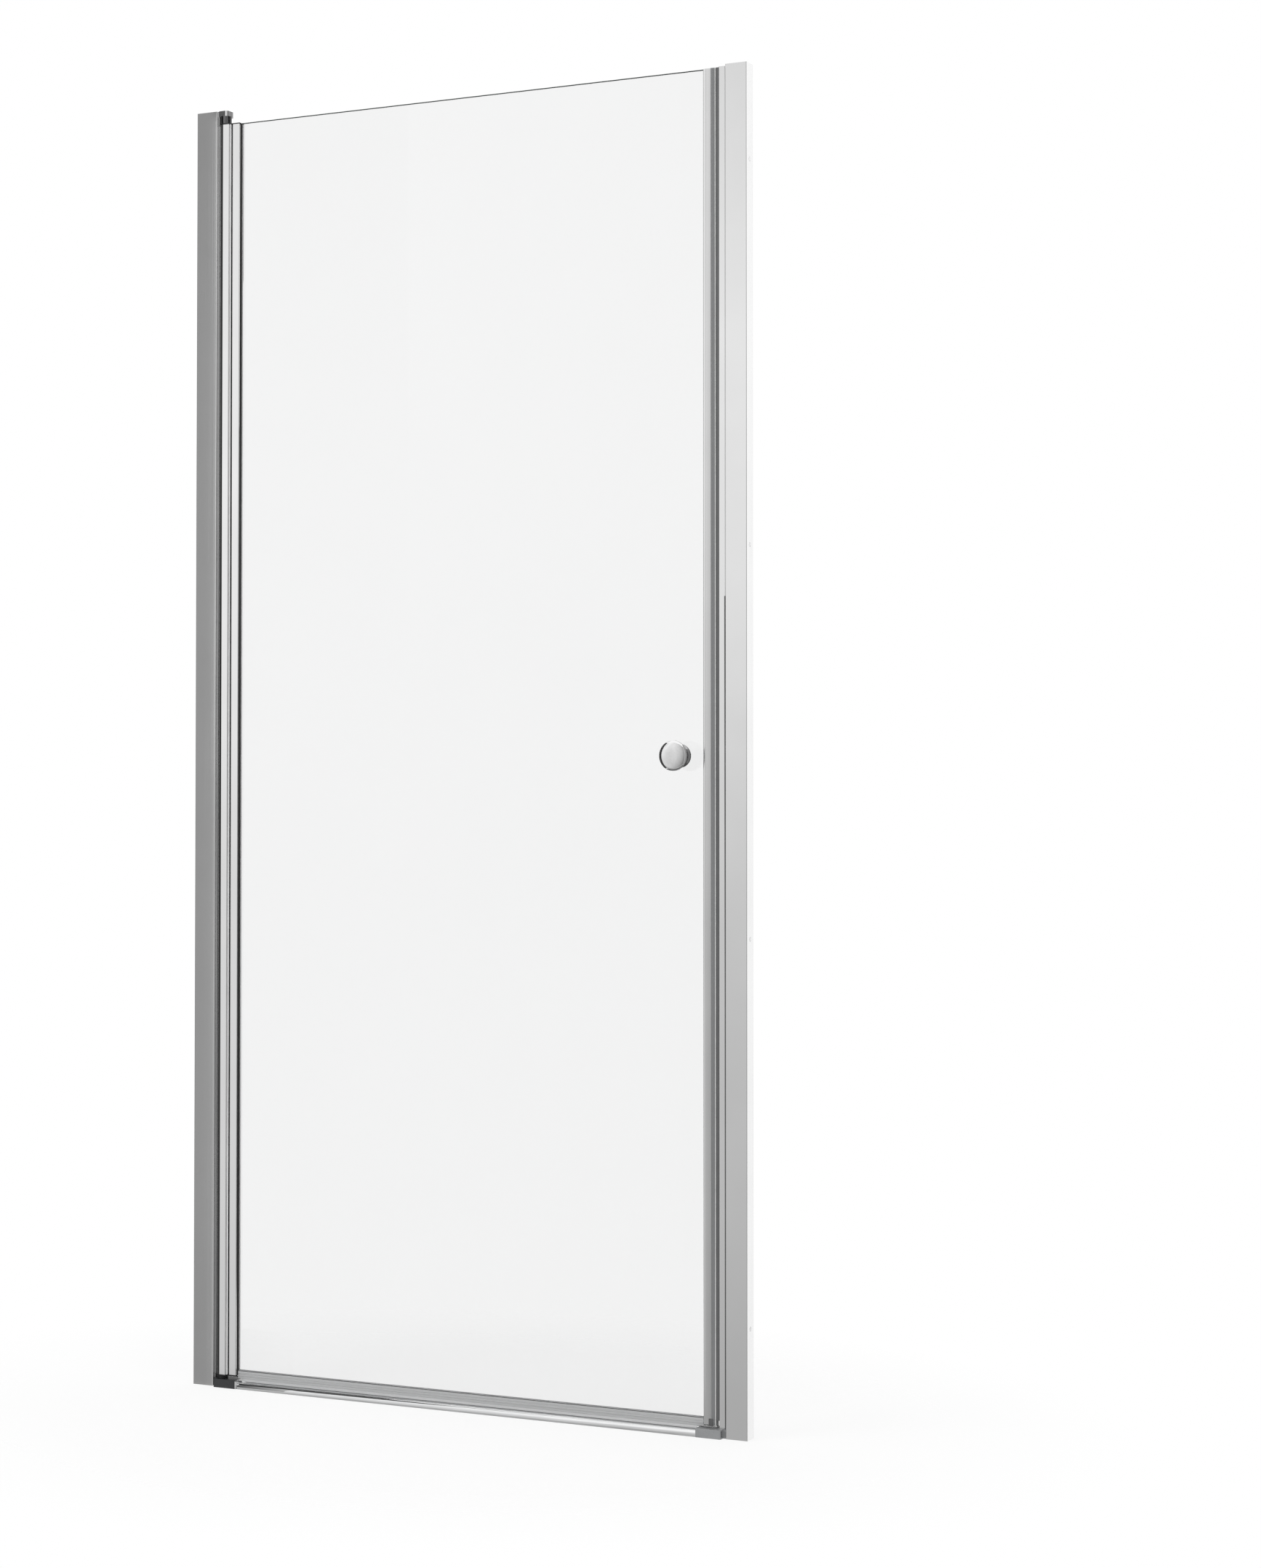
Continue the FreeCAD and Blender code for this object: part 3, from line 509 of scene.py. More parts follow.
@dataclass
class WallFrame:
    """The channels and jambs on both walls, with what is in their noses. Sizes in millimetres."""

    painted_shadow_faces: Span = (-6.62, -6.0)
    line_round: float = 0.3
    # Spans of the dark strips that paint the shadow in the gap between each channel's lip and its jamb.
    hinge_painted_shadow_line: Span = (-413.55, -412.65)
    strike_painted_shadow_line: Span = (416.35, 417.25)
    hinge_heights: tuple[Span, ...] = ((12.5, 1.0), (1891.7, 1.0))
    # The strike strip narrows to a sliver by 1150 mm, so its painted shadow fades out upwards.
    strike_heights: tuple[Span, ...] = ((12.5, 1.0), (620.0, 1.0), (1150.0, 0.08))
    web_faces: Span = (447.9, 450.0)
    wall_gap: float = 0.02
    screw_row: float = 2.0
    screw_heights: tuple[float, ...] = (150.0, 680.0, 1220.0, 1750.0)
    screw_sides: int = 40
    recess_radii: Span = (1.3, 1.5)
    recess_depth: float = 0.9
    head_radius: float = 4.6
    head_height: float = 2.2
    head_flat: float = 2.4
    head_drop: float = 0.2
    shank_radius: float = 2.9
    shank_bevel: float = 0.3

    def build(self) -> None:
        """Lay the painted shadow strips in the jambs and set the wall screws."""
        # Both strips are dark strips painted in as the shadow of the gap beside each channel's lip.
        self.build_painted_shadow_line("hinge_painted_shadow_line_strip", self.hinge_painted_shadow_line, self.hinge_heights, PAINTED_SHADOW_GREY)
        self.build_painted_shadow_line("strike_painted_shadow_line_strip", self.strike_painted_shadow_line, self.strike_heights, PAINTED_SHADOW_DARK)
        for side, name in ((-1, "hinge_wall_screws"), (1, "strike_wall_screws")):
            self.build_wall_screws(side, name)

    def build_painted_shadow_line(self, name: str, line: Span, heights: tuple[Span, ...], finish: Finish) -> None:
        """Thin dark strip in the groove of a jamb, painted shadow of the gap beside the channel's lip.

        Args:
            name: The strip's name.
            line: The groove's sides.
            heights: Levels from its foot to its top, each with its share of the groove's width.
            finish: What it is made of.
        """
        left, sections = line[0], []
        for level, share in heights:
            right = left + (line[1] - left) * share
            turn = self.line_round * share
            outline = slab((left, right), self.painted_shadow_faces, (turn, turn, 0.0, 0.0))
            sections.append([(a, b, level) for a, b in outline])
        set_piece(name, lofted(sections), Body.FRAME, (finish,))

    def build_wall_screws(self, side: int, name: str) -> None:
        """Pan-head screws through one channel's web, flush with the wall.

        Args:
            side: -1 for the hinge wall, 1 for the strike wall.
            name: The name of the row of screws.
        """
        seat, wall = self.web_faces
        crown, tip = seat - self.head_height, wall - self.wall_gap
        recess, (inner, outer) = crown + self.recess_depth, self.recess_radii
        head, shank, bevel = self.head_radius, self.shank_radius, self.shank_bevel
        outline: Loop = [(0.0, recess), (inner, recess), (outer, crown)]
        outline += smooth_arc((self.head_flat, crown), (head, crown + self.head_drop), (head, seat))
        outline += [(shank, seat), (shank, wall - bevel), (shank - bevel, tip), (0.0, tip)]
        points = [(radius, side * along) for radius, along in outline]
        axes = [(self.screw_row, height) for height in self.screw_heights]
        mesh = turned(points, axes, Run.LENGTHWISE, self.screw_sides)
        set_piece(name, mesh, Body.FRAME, (BRIGHT_ZINC,))

    def dress(self) -> None:
        """Finish the fixed profiles and their inserts."""
        dress(SATIN_PROFILE, "hinge_wall_channel", "strike_wall_channel", "hinge_jamb", "strike_jamb")
        dress(BLACK_RUBBER, "hinge_gasket")
        dress(DARK_CARRIER, "strike_seal_carrier")
        dress(MAGNET, "strike_magnet")
        dress(GREY_MOULDING, "strike_channel_plug", "lock_screw_covers")
        dress(STAINLESS, "jamb_lock_screws")


@dataclass
class Pivots:
    """Bracket, block, pins and bushes of the hinge side. Sizes in millimetres."""

    axis: Point = (-402.0, -3.5)
    bracket_top: float = 1900.0
    crown_radius: float = 5.2
    crown_height: float = 0.8
    crown_bite: float = 0.1
    crown_edge: float = 0.2
    crown_round: float = 0.6
    crown_sides: int = 64

    def build(self) -> None:
        """Low riveted crown of the upper pin, on top of the bracket."""
        radius, base = self.crown_radius, self.bracket_top - self.crown_bite
        top = self.bracket_top + self.crown_height
        outline: Loop = [(0.0, base), (radius, base), (radius, self.bracket_top + self.crown_edge)]
        outline += smooth_arc(outline[-1], (radius - self.crown_round, top), (0.0, top), steps=10)
        mesh = turned(outline, [self.axis], Run.UPRIGHT, self.crown_sides)
        set_piece("pin_crown", mesh, Body.FRAME, (CHROME,))

    def dress(self) -> None:
        """Finish the pivot hardware."""
        dress(CHROME, "top_pivot_bracket", "pivot_block_plate")
        dress(BURNISHED_STEEL, "top_pivot_pin")
        dress(STAINLESS, "bottom_pivot_pin", "top_bracket_screws")
        dress(DARK_MOULDING, "bottom_pivot_block")
        dress(BLACK_MOULDING, "top_pivot_bush", "bottom_pivot_bush")


@dataclass
class Threshold:
    """Bar across the foot, with its strike end. Sizes in millimetres."""

    rim_span: Span = (-367.7, -366.4)
    rim_rise: float = 0.35
    rim_bite: float = 0.3
    bar_faces: Span = (-15.0, 4.0)
    bar_foot: float = 0.1
    bar_height: float = 9.5
    bar_rounds: Span = (7.0, 2.4)

    def build(self) -> None:
        """Bright rim round the end of the bar, beside the pivot block's plate."""
        outline = self.bar_outline(self.rim_rise) + self.bar_outline(-self.rim_bite)[::-1]
        set_strip("bar_end_rim", outline, self.rim_span, BRIGHT_PROFILE, Run.LENGTHWISE,
                  Body.FRAME)

    def bar_outline(self, grow: float) -> Loop:
        """Front, top and rear of the bar's section, from foot to foot.

        Args:
            grow: How far outside the bar's faces it runs.

        Returns:
            The points of the outline.
        """
        front, rear = self.bar_faces[0] - grow, self.bar_faces[1] + grow
        foot, top = self.bar_foot, self.bar_height + grow
        front_round, rear_round = (radius + grow for radius in self.bar_rounds)
        corners = [(front, foot, 0.0), (front, top, front_round), (rear, top, rear_round), (rear, foot, 0.0)]
        return rounded(corners, steps=10)

    def dress(self) -> None:
        """Finish the threshold."""
        dress(BRIGHT_BAR, "threshold_bar")
        dress(GREY_MOULDING, "threshold_end_cap")
        dress(STAINLESS, "end_block_screws")
        dress(MILKY_VINYL, "threshold_corner_dam")


@dataclass
class HingeRail:
    """Full-height profile that clamps the glass. Sizes in millimetres."""

    heights: Span = (18.8, 1878.4)
    glass_left: float = -381.0
    clamp_end: float = -375.2
    gasket_faces: Span = (-3.9, -3.0)
    gasket_round: float = 0.4
    lip_end: float = -374.6
    lip_crest: float = -5.0
    lip_rounds: Triple = (0.2, 0.35, 0.2)
    # Dark bead in the clamp's groove, painted shade of the groove's depth.
    groove_painted_shadow_bead: Span = (-388.7, -387.75)
    bead_crest: float = -6.9
    bead_round: float = 0.45
    pale_bead: Span = (-391.35, -390.65)
    pale_faces: Span = (-9.0, -6.35)
    pale_round: float = 0.3

    def build(self) -> None:
        """Gaskets of the clamp, and the two beads in its groove."""
        self.build_front_gasket()
        self.build_rear_gasket()
        self.build_beads()

    def build_front_gasket(self) -> None:
        """Front gasket, with a soft lip over the end of the jaw."""
        (seat, glass), crest = self.gasket_faces, self.lip_crest
        inner, outer, foot = self.lip_rounds
        outline = rounded([
            (self.glass_left, seat, 0.0), (self.clamp_end, seat, 0.0), (self.clamp_end, crest, inner),
            (self.lip_end, crest, outer), (self.lip_end, glass, foot), (self.glass_left, glass, 0.0),
        ])
        gasket = set_strip("soft_clamp_gasket", outline, self.heights, BLACK_RUBBER)
        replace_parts(gasket, "front_clamp_gasket")

    def build_rear_gasket(self) -> None:
        """Pale gasket behind the glass, with a rounded end."""
        seat, glass = (-face for face in self.gasket_faces)
        turn = self.gasket_round
        outline = slab((self.glass_left, self.clamp_end), (glass, seat), (0.0, turn, turn, 0.0))
        gasket = set_strip("pale_rear_gasket", outline, self.heights, PALE_GASKET)
        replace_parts(gasket, "rear_clamp_gasket")

    def build_beads(self) -> None:
        """Dark round bead along the clamp strip, painted shade in the groove, and a thin pale one on the groove's
        wall.
        """
        (left, right), seat = self.groove_painted_shadow_bead, self.gasket_faces[0]
        crest, turn = self.bead_crest, self.bead_round
        # The dark bead paints the shade that falls in the groove.
        dark = rounded([(left, seat, 0.0), (left, crest, turn), (right, crest, turn), (right, seat, 0.0)])
        set_strip("groove_painted_shadow_bead", dark, self.heights, DARK_MOULDING)
        pale = slab(self.pale_bead, self.pale_faces, (0.0, self.pale_round, 0.0, 0.0))
        set_strip("pale_groove_bead", pale, self.heights, PALE_GASKET)

    def dress(self) -> None:
        """Finish the rail, its clamp and its caps."""
        dress(BRIGHT_PROFILE, "hinge_profile", "glass_clamp_strip")
        dress(BLACK_RUBBER, "clamp_groove_strip")
        dress(STAINLESS, "clamp_screws")
        dress(BLACK_MOULDING, "hinge_top_cap", "hinge_bottom_cap")


@dataclass
class Pane:
    """The glass, with its ground edges. Sizes in millimetres."""

    left: float = -381.0
    right: float = 393.0
    bottom: float = 15.4
    top: float = 1880.0
    half: float = 3.0
    arris: float = 0.9
    hole_x: float = 348.0
    hole_z: float = 931.0
    hole_radius: float = 6.0
    hole_sides: int = 64

    def build(self) -> None:
        """Build the pane from four rings round its rim and one round the hole at each face."""
        half, arris = self.half, self.arris
        shape = bmesh.new()
        levels = ((-half, arris), (arris - half, 0.0), (half - arris, 0.0), (half, arris))
        rims = [ring_of(shape, self.rim_spots(depth, inset)) for depth, inset in levels]
        front_hole, rear_hole = (ring_of(shape, self.hole_spots(depth)) for depth in (-half, half))
        join_rings(shape, rims[0], front_hole)
        for front, rear in zip(rims, rims[1:]):
            join_rings(shape, front, rear, EDGE_MARK)
        join_rings(shape, rear_hole, rims[-1])
        join_rings(shape, front_hole, rear_hole, EDGE_MARK)
        pane = set_piece("seamed_pane", closed_mesh(shape), Body.LEAF, (GLASS, GLASS_EDGE))
        pane.visible_shadow = False
        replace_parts(pane, "glass_panel")

    def rim_spots(self, depth: float, inset: float) -> list[Triple]:
        """Places round the pane's rim, one for each side of the hole.

        Args:
            depth: Y of the ring.
            inset: How far the ring lies inside the rim.

        Returns:
            The places, with the four corners among them.
        """
        left, right = self.left + inset, self.right - inset
        bottom, top = self.bottom + inset, self.top - inset
        corners = ((right, bottom), (right, top), (left, top), (left, bottom))
        steps = self.hole_sides // len(corners)
        spots = []
        for index in range(self.hole_sides):
            corner, step = divmod(index, steps)
            share = step / steps
            ends = zip(corners[corner], corners[(corner + 1) % len(corners)])
            x, z = (here * (1 - share) + after * share for here, after in ends)
            spots.append((x, depth, z))
        return spots

    def hole_spots(self, depth: float) -> list[Triple]:
        """Places round the hole at one face.

        Args:
            depth: Y of the ring.

        Returns:
            The places, from the corner that the rim starts at.
        """
        radius, sides = self.hole_radius, self.hole_sides
        turns = [math.tau * index / sides - math.pi / 4 for index in range(sides)]
        arms = [(radius * math.cos(turn), radius * math.sin(turn)) for turn in turns]
        return [(self.hole_x + x, depth, self.hole_z + z) for x, z in arms]

    def dress(self) -> None:
        """The pane is dressed as it is built, its rim apart from its faces."""
        log.info("glass dressed in %s and %s", GLASS.name, GLASS_EDGE.name)


@dataclass
class Seals:
    """The seals on the closing edge and along the foot of the glass. Sizes in millimetres."""

    top: float = 1880.0
    glass_face: float = 3.15
    grip_left: float = 383.3
    grip_face: float = 4.4
    grip_floor: float = 16.5
    grip_rounds: Span = (0.5, 0.4)
    web_left: float = 393.3
    line_offset: float = 3.2
    line_half: float = 0.25
    line_sink: float = 0.3
    line_round: float = 0.15
    chamber: Span = (394.7, 401.8)
    chamber_face: float = 4.8
    chamber_floor: float = 15.5
    chamber_wall: float = 0.8
    chamber_rounds: Span = (0.4, 0.9)
    # Pale bead that paints a highlight along the chamber's closing edge.
    painted_highlight_bead: Span = (400.7, 401.7)
    edge_rise: float = 0.5
    edge_bite: float = 0.1
    shoe: Span = (383.4, 401.6)
    shoe_heights: Span = (13.0, 15.6)
    clip: Span = (391.3, 396.9)
    clip_faces: Span = (-5.3, -4.2)
    clip_heights: Span = (15.0, 24.7)
    foot_round: float = 0.4
    bead_span: Span = (-373.6, 382.7)
    bead_heights: tuple[float, ...] = (25.2, 21.6, 18.2)
    bead_halves: tuple[float, ...] = (0.4, 0.75, 0.75)
    bead_rise: float = 0.45

    def build(self) -> None:
        """Build the seal on the closing edge, its foot and the beads of the drip seal."""
        self.build_grip()
        self.build_chamber()
        self.build_painted_highlight_bead()
        self.build_foot()
        self.build_beads()

    def build_grip(self) -> None:
        """Silvered channel that grips the edge of the glass, with a drawn line along its face."""
        outer, inner, left = self.grip_face, self.glass_face, self.grip_left
        web, seam = self.web_left, self.chamber[0]
        line, half, soft = left + self.line_offset, self.line_half, self.line_round
        tip, lip = self.grip_rounds
        outline = rounded([
            (left, -outer, tip), (line, -outer, soft), (line + half, self.line_sink - outer, 0.0),
            (line + half * 2, -outer, soft), (seam, -outer, 0.0), (seam, outer, 0.0), (left, outer, tip),
            (left, inner, lip), (web, inner, 0.0), (web, -inner, 0.0), (left, -inner, lip),
        ])
        heights = (self.grip_floor, self.top)
        grip = set_strip("side_seal_grip", outline, heights, SILVER_SEAL)
        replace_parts(grip, "side_seal")

    def build_chamber(self) -> None:
        """Clear chamber round the magnet, as four walls in one section."""
        (left, right), face, wall = self.chamber, self.chamber_face, self.chamber_wall
        tight, wide = self.chamber_rounds
        outer = slab(self.chamber, (-face, face), (tight, wide, wide, tight))
        inner = [(left + wall, wall - face), (left + wall, face - wall), (right - wall, face - wall),
                 (right - wall, wall - face)]
        shape = bmesh.new()
        levels = (self.chamber_floor, self.top)
        rings = [[ring_of(shape, [(x, y, z) for x, y in points]) for z in levels] for points in (outer, inner)]
        for low, high in rings:
            join_rings(shape, low, high)
        for ends in zip(*rings):
            loops = [shape.edges.get((ring[at - 1], ring[at])) for ring in ends for at in range(len(ring))]
            bmesh.ops.triangle_fill(shape, use_beauty=True, edges=loops)
        set_piece("side_seal_chamber", closed_mesh(shape), Body.LEAF, (CLEAR_CHAMBER,))

    def build_painted_highlight_bead(self) -> None:
        """Pale bead along the closing edge of the chamber, a painted highlight along that edge."""
        (left, right), heights = self.painted_highlight_bead, (self.chamber_floor, self.top)
        face, crest = -self.chamber_face + self.edge_bite, -self.chamber_face - self.edge_rise
        outline: Loop = [(left, face)]
        outline += smooth_arc((left, face), (left, crest), ((left + right) / 2, crest), steps=6)
        outline += smooth_arc(outline[-1], (right, crest), (right, face), steps=6)
        # The pale vinyl here is a painted highlight on the closing edge.
        set_strip("chamber_painted_highlight_bead", outline, heights, PALE_VINYL)

    def build_foot(self) -> None:
        """Milky shoe that closes the seal's foot, and the dark clip on its front."""
        rounds = (self.foot_round, self.foot_round, 0.0, 0.0)
        shoe = slab(self.shoe, (-self.grip_face, self.grip_face), rounds)
        set_strip("seal_foot_shoe", shoe, self.shoe_heights, MILKY_VINYL)
        clip = slab(self.clip, self.clip_faces, rounds)
        set_strip("seal_foot_clip", clip, self.clip_heights, DARK_CARRIER)

    def build_beads(self) -> None:
        """Raised beads along the front of the drip seal, with a dark one at its top."""
        face = -self.grip_face
        bend = face - self.bead_rise - self.bead_rise
        for number, (height, half) in enumerate(zip(self.bead_heights, self.bead_halves), start=1):
            outline = [(face, height - half)]
            outline += smooth_arc(outline[0], (bend, height), (face, height + half))
            slot, finish = ("black_rubber", BLACK_RUBBER) if number == 1 else ("clear_vinyl", CLEAR_DRIP)
            set_strip(f"drip_bead_{number}", outline, self.bead_span, finish, Run.LENGTHWISE)

    def dress(self) -> None:
        """Finish the magnet and the drip seal."""
        dress(MAGNET, "side_seal_magnet")
        dress(CLEAR_DRIP, "drip_seal")


@dataclass
class KnobSet:
    """The knob, and the cap that holds it from the shower side. Sizes in millimetres."""

    axis: Point = (348.0, 931.0)
    washer_face: float = 4.0
    length: float = 29.0
    radius: float = 21.0
    rim_back: float = 23.4
    rim_round: float = 0.6
    face_edge: float = 24.6
    face_power: Span = (3.0, 2.0)
    face_steps: int = 40
    knob_sides: int = 128
    collar: float = 16.2
    collar_bevel: float = 0.4
    collar_step: float = 1.6
    collar_levels: Triple = (2.5, 3.0, 3.5)
    neck: Point = (13.4, 5.0)
    flare_bend: Point = (14.2, 13.1)
    flare_end: Point = (19.2, 22.0)
    cap_radius: float = 8.5
    cap_length: float = 6.0
    cap_bevel: float = 0.3
    cap_shares: Span = (0.5, 0.92)
    cap_sides: int = 72

    def build(self) -> None:
        """Turn the knob and its cap."""
        self.build_knob()
        self.build_cap()

    def build_knob(self) -> None:
        """Knob with a collar, a waisted neck, a thin rim and a slightly crowned face, in chrome on the face and in
        darker chrome behind it as painted shade.
        """
        edge, bevel, radius, rim = self.collar, self.collar_bevel, self.radius, self.rim_back
        low, middle, high = self.collar_levels
        outline: Loop = [(0.0, 0.0), (edge - bevel, 0.0), (edge, bevel), (edge, low), (edge - bevel, middle)]
        outline += [(edge - self.collar_step, high), self.neck]
        outline += smooth_arc(self.neck, self.flare_bend, self.flare_end, steps=14)
        outline += smooth_arc(self.flare_end, (radius, rim - self.rim_round), (radius, rim), steps=6)
        outline.append((radius, self.face_edge))
        crown = self.length - self.face_edge
        across, along = self.face_power
        for step in range(1, self.face_steps):
            turn = math.pi / 2 * step / self.face_steps
            outline.append((
                radius * math.cos(turn) ** (2 / across),
                self.face_edge + crown * math.sin(turn) ** (2 / along),
            ))
        outline.append((0.0, self.length))
        points = [(out, -self.washer_face - away) for out, away in outline]
        mesh = turned(points, [self.axis], Run.THROUGH_GLASS, self.knob_sides)
        # Faces behind the face's edge (rim side, flare, neck and collar) take the darker chrome, painted shade
        # behind the rim.
        for face in mesh.polygons:
            face.material_index = int(face.center.y > -(self.washer_face + self.face_edge) * MM)
        knob = set_piece("turned_knob", mesh, Body.LEAF, (KNOB_CHROME, KNOB_PAINTED_SHADE_CHROME))
        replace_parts(knob, "outer_knob")

    def build_cap(self) -> None:
        """Low domed cap behind the glass."""
        radius, length, bevel = self.cap_radius, self.cap_length, self.cap_bevel
        side, swell = self.cap_shares
        outline: Loop = [(0.0, 0.0), (radius - bevel, 0.0), (radius, bevel), (radius, length * side)]
        outline += smooth_arc(outline[-1], (radius, length * swell), (0.0, length), steps=16)
        points = [(out, self.washer_face + away) for out, away in outline]
        mesh = turned(points, [self.axis], Run.THROUGH_GLASS, self.cap_sides)
        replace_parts(set_piece("domed_back_cap", mesh, Body.LEAF, (CHROME,)), "knob_back_cap")

    def dress(self) -> None:
        """Finish what holds the knob."""
        dress(STAINLESS, "knob_stud")
        dress(PALE_VINYL, "knob_washers", "knob_sleeve")


class Seen(Enum):
    """How polished faces see a grey card."""

    DIRECTLY = "glossy"
    THROUGH_GLASS = "transmission"


@dataclass(frozen=True)
class GreyCard:
    """A grey card beside the door, upright or laid over, which only polished faces see. Sizes in metres."""

    name: str
    ends: tuple[Point, Point]
    heights: Span
    tones: tuple[Span, ...]
    seen: Seen = Seen.DIRECTLY
    lean: float = 0.0
    shares: Span = (1.0, 1.0)

    def build(self) -> Object:
        """Make the card with its tones.

        Returns:
            The card.
        """
        mesh = bpy.data.meshes.new(self.name)
        foot = [(x, y, self.heights[0]) for x, y in self.ends]
        top = [(x, y + self.lean, self.heights[1]) for x, y in reversed(self.ends)]
        mesh.from_pydata(foot + top, [], [(0, 1, 2, 3)])
        mesh.materials.append(self.material())
        card = bpy.data.objects.new(self.name, mesh)
        for kind in ("camera", "diffuse", "glossy", "transmission", "volume_scatter", "shadow"):
            setattr(card, f"visible_{kind}", kind == self.seen.value)
        bpy.context.scene.collection.objects.link(card)
        return card

    def hide_from_view(self, sheet: ShaderSheet) -> None:
        """Let rays pass that have met no polished face, so the card isn't seen through the glass itself.

        Args:
            sheet: The card's material.
        """
        mirrored = sheet.add("ShaderNodeLightPath").outputs["Glossy Depth"]
        mix = sheet.add("ShaderNodeMixShader", Fac=mirrored)
        clear = sheet.add("ShaderNodeBsdfTransparent")
        for source, target in zip((clear, sheet.shader), mix.inputs[1:]):
            sheet.tree.links.new(source.outputs[0], target)
        feed(sheet.tree.nodes["Material Output"], {"Surface": mix.outputs[0]})

    def material(self) -> Material:
        """Lay the tones from the card's foot to its top, and its shares of them from end to end.

        Returns:
            The card's material.
        """
        sheet = ShaderSheet(self.name)
        split = sheet.add("ShaderNodeSeparateXYZ", Vector=sheet.place((1.0, 1.0, 1.0)))
        ramp = sheet.add("ShaderNodeValToRGB", Fac=sheet.spread(split.outputs["Z"], (0.0, 1.0), self.heights))
        stops = ramp.color_ramp.elements
        while len(stops) < len(self.tones):
            stops.new(1.0)
        for stop, (height, tone) in zip(stops, self.tones):
            stop.position = (height - self.heights[0]) / (self.heights[1] - self.heights[0])
            stop.color = (tone, tone, tone, 1.0)
        sheet.feed_shader(
            Base_Color=(0.0, 0.0, 0.0, 1.0), Specular_IOR_Level=0.0, Emission_Color=ramp.outputs["Color"],
            Emission_Strength=1.0,
        )
        if self.shares != (1.0, 1.0):
            axis = 0 if self.ends[0][0] != self.ends[1][0] else 1
            sides = tuple(end[axis] for end in self.ends)
            sheet.feed_shader(Emission_Strength=sheet.spread(split.outputs["XY"[axis]], self.shares, sides))
        if self.seen is Seen.THROUGH_GLASS:
            self.hide_from_view(sheet)
        return sheet.material


def even_card(name: str, ends: tuple[Point, Point], heights: Span, tones: Span, **more: object) -> GreyCard:
    """A card whose tone runs evenly from its foot to its top."""
    return GreyCard(name, ends, heights, tuple(zip(heights, tones)), **more)


SIDE_HEIGHTS: Span = (-0.6, 2.6)
FRONT_HEIGHTS: Span = (-1.2, 2.6)
REAR_HEIGHTS: Span = (-3.4, 3.4)
BLACK: Span = (0.03, 0.03)
REAR_TONES = ((-3.4, 0.18), (-1.6, 0.22), (-0.4, 0.28), (0.4, 0.36), (1.4, 0.46), (2.2, 0.56), (3.4, 0.60))
CARDS = (
    GreyCard("dim_card", ((-0.77, -0.41), (-0.6815, -0.41)), (-0.096, 2.6), (
        (-0.096, 0.285), (0.3, 0.31), (1.6, 0.31), (2.05, 0.285),
    )),
    even_card("flank_card", ((-1.6, -0.41), (-0.77, -0.41)), SIDE_HEIGHTS, (0.04, 0.04)),
    even_card("black_card", ((-1.6, 0.1), (-1.6, -1.5)), SIDE_HEIGHTS, BLACK),
    even_card("black_rear_card", ((-1.6, 1.6), (-1.6, 0.0)), SIDE_HEIGHTS, BLACK, seen=Seen.THROUGH_GLASS),
    even_card("bracket_card", ((-0.6815, -0.405), (-0.66, -0.405)), (1.997, 2.3), (0.1, 0.1)),
    even_card("head_card", ((0.5, 1.75), (1.1, 1.75)), (2.0, 2.6), (0.22, 0.3)),
    even_card("nose_card", ((1.3, -0.5), (1.3, 1.0)), (2.16, 2.8), BLACK),
    even_card("bar_card", ((-0.405, -0.06), (-0.315, -0.06)), (0.002, 0.075), (0.07, 0.12), shares=(1.0, 5.0)),
    even_card("side_card", ((1.3, -3.0), (1.3, 0.0)), (-1.6, 2.4), (0.1, 0.16), shares=(6.0, 0.8)),
    GreyCard("side_rear_card", ((1.3, 0.0), (1.3, 1.25)), (-0.55, 2.4), ((-0.4, 0.1), (2.4, 0.16)),
             Seen.THROUGH_GLASS),
    GreyCard("low_card", ((-1.3, -3.2), (1.3, -3.2)), (-0.56, -0.55), (
        (-0.56, 0.95), (-0.553, 0.12), (-0.55, 0.12),
    ), lean=3.2),
    even_card("low_rear_card", ((-1.5, 0.0), (1.5, 0.0)), (-0.56, -0.55), (0.12, 0.12),
              seen=Seen.THROUGH_GLASS, lean=1.05),
    GreyCard("light_card", ((-2.6, -2.0), (-1.25, -2.0)), FRONT_HEIGHTS, (
        (-1.2, 0.38), (-0.47, 0.40), (-0.435, 0.60), (-0.29, 0.62), (0.2, 0.695), (0.7, 0.725), (1.04, 0.83),
        (1.6, 0.885), (2.4, 0.79),
    )),
    GreyCard("crown_card", ((-1.25, -2.0), (-0.58, -2.0)), FRONT_HEIGHTS, (
        (-1.2, 0.40), (-0.47, 0.43), (-0.4, 0.60), (0.2, 0.695), (0.7, 0.72), (1.04, 0.81), (1.5, 0.95),
        (1.9, 1.0), (2.6, 1.0),
    ), shares=(1.0, 0.84)),
    GreyCard("graded_card", ((-0.58, -2.0), (-0.38, -2.0)), FRONT_HEIGHTS, (
        (-1.2, 0.43), (-0.43, 0.43), (0.0, 0.51), (0.4, 0.56), (0.75, 0.64), (1.3, 0.80), (1.85, 0.85),
        (2.4, 0.73),
    )),
    GreyCard("shade_card", ((-0.38, -2.0), (1.35, -2.0)), SIDE_HEIGHTS, (
        (-0.43, 0.43), (0.0, 0.51), (0.4, 0.56), (0.75, 0.64), (1.3, 0.80), (2.0, 0.9),
    ), shares=(0.94, 0.28)),
    GreyCard("rear_card", ((-6.0, 3.2), (1.6, 3.2)), REAR_HEIGHTS, REAR_TONES),
    GreyCard("rear_fade_card", ((1.6, 3.2), (1.76, 3.2)), REAR_HEIGHTS, REAR_TONES, shares=(1.0, 2.4)),
    GreyCard("strike_fade_card", ((1.94, 3.2), (2.1, 3.2)), REAR_HEIGHTS, REAR_TONES, shares=(2.4, 1.0)),
    GreyCard("rear_strike_card", ((2.1, 3.2), (7.0, 3.2)), REAR_HEIGHTS, REAR_TONES),
    GreyCard("rim_card", ((-1.35, 1.2), (1.7, 1.2)), (-0.6, 1.6), ((-0.6, 0.08), (1.1, 0.08), (1.5, 0.5)),
             Seen.THROUGH_GLASS),
)


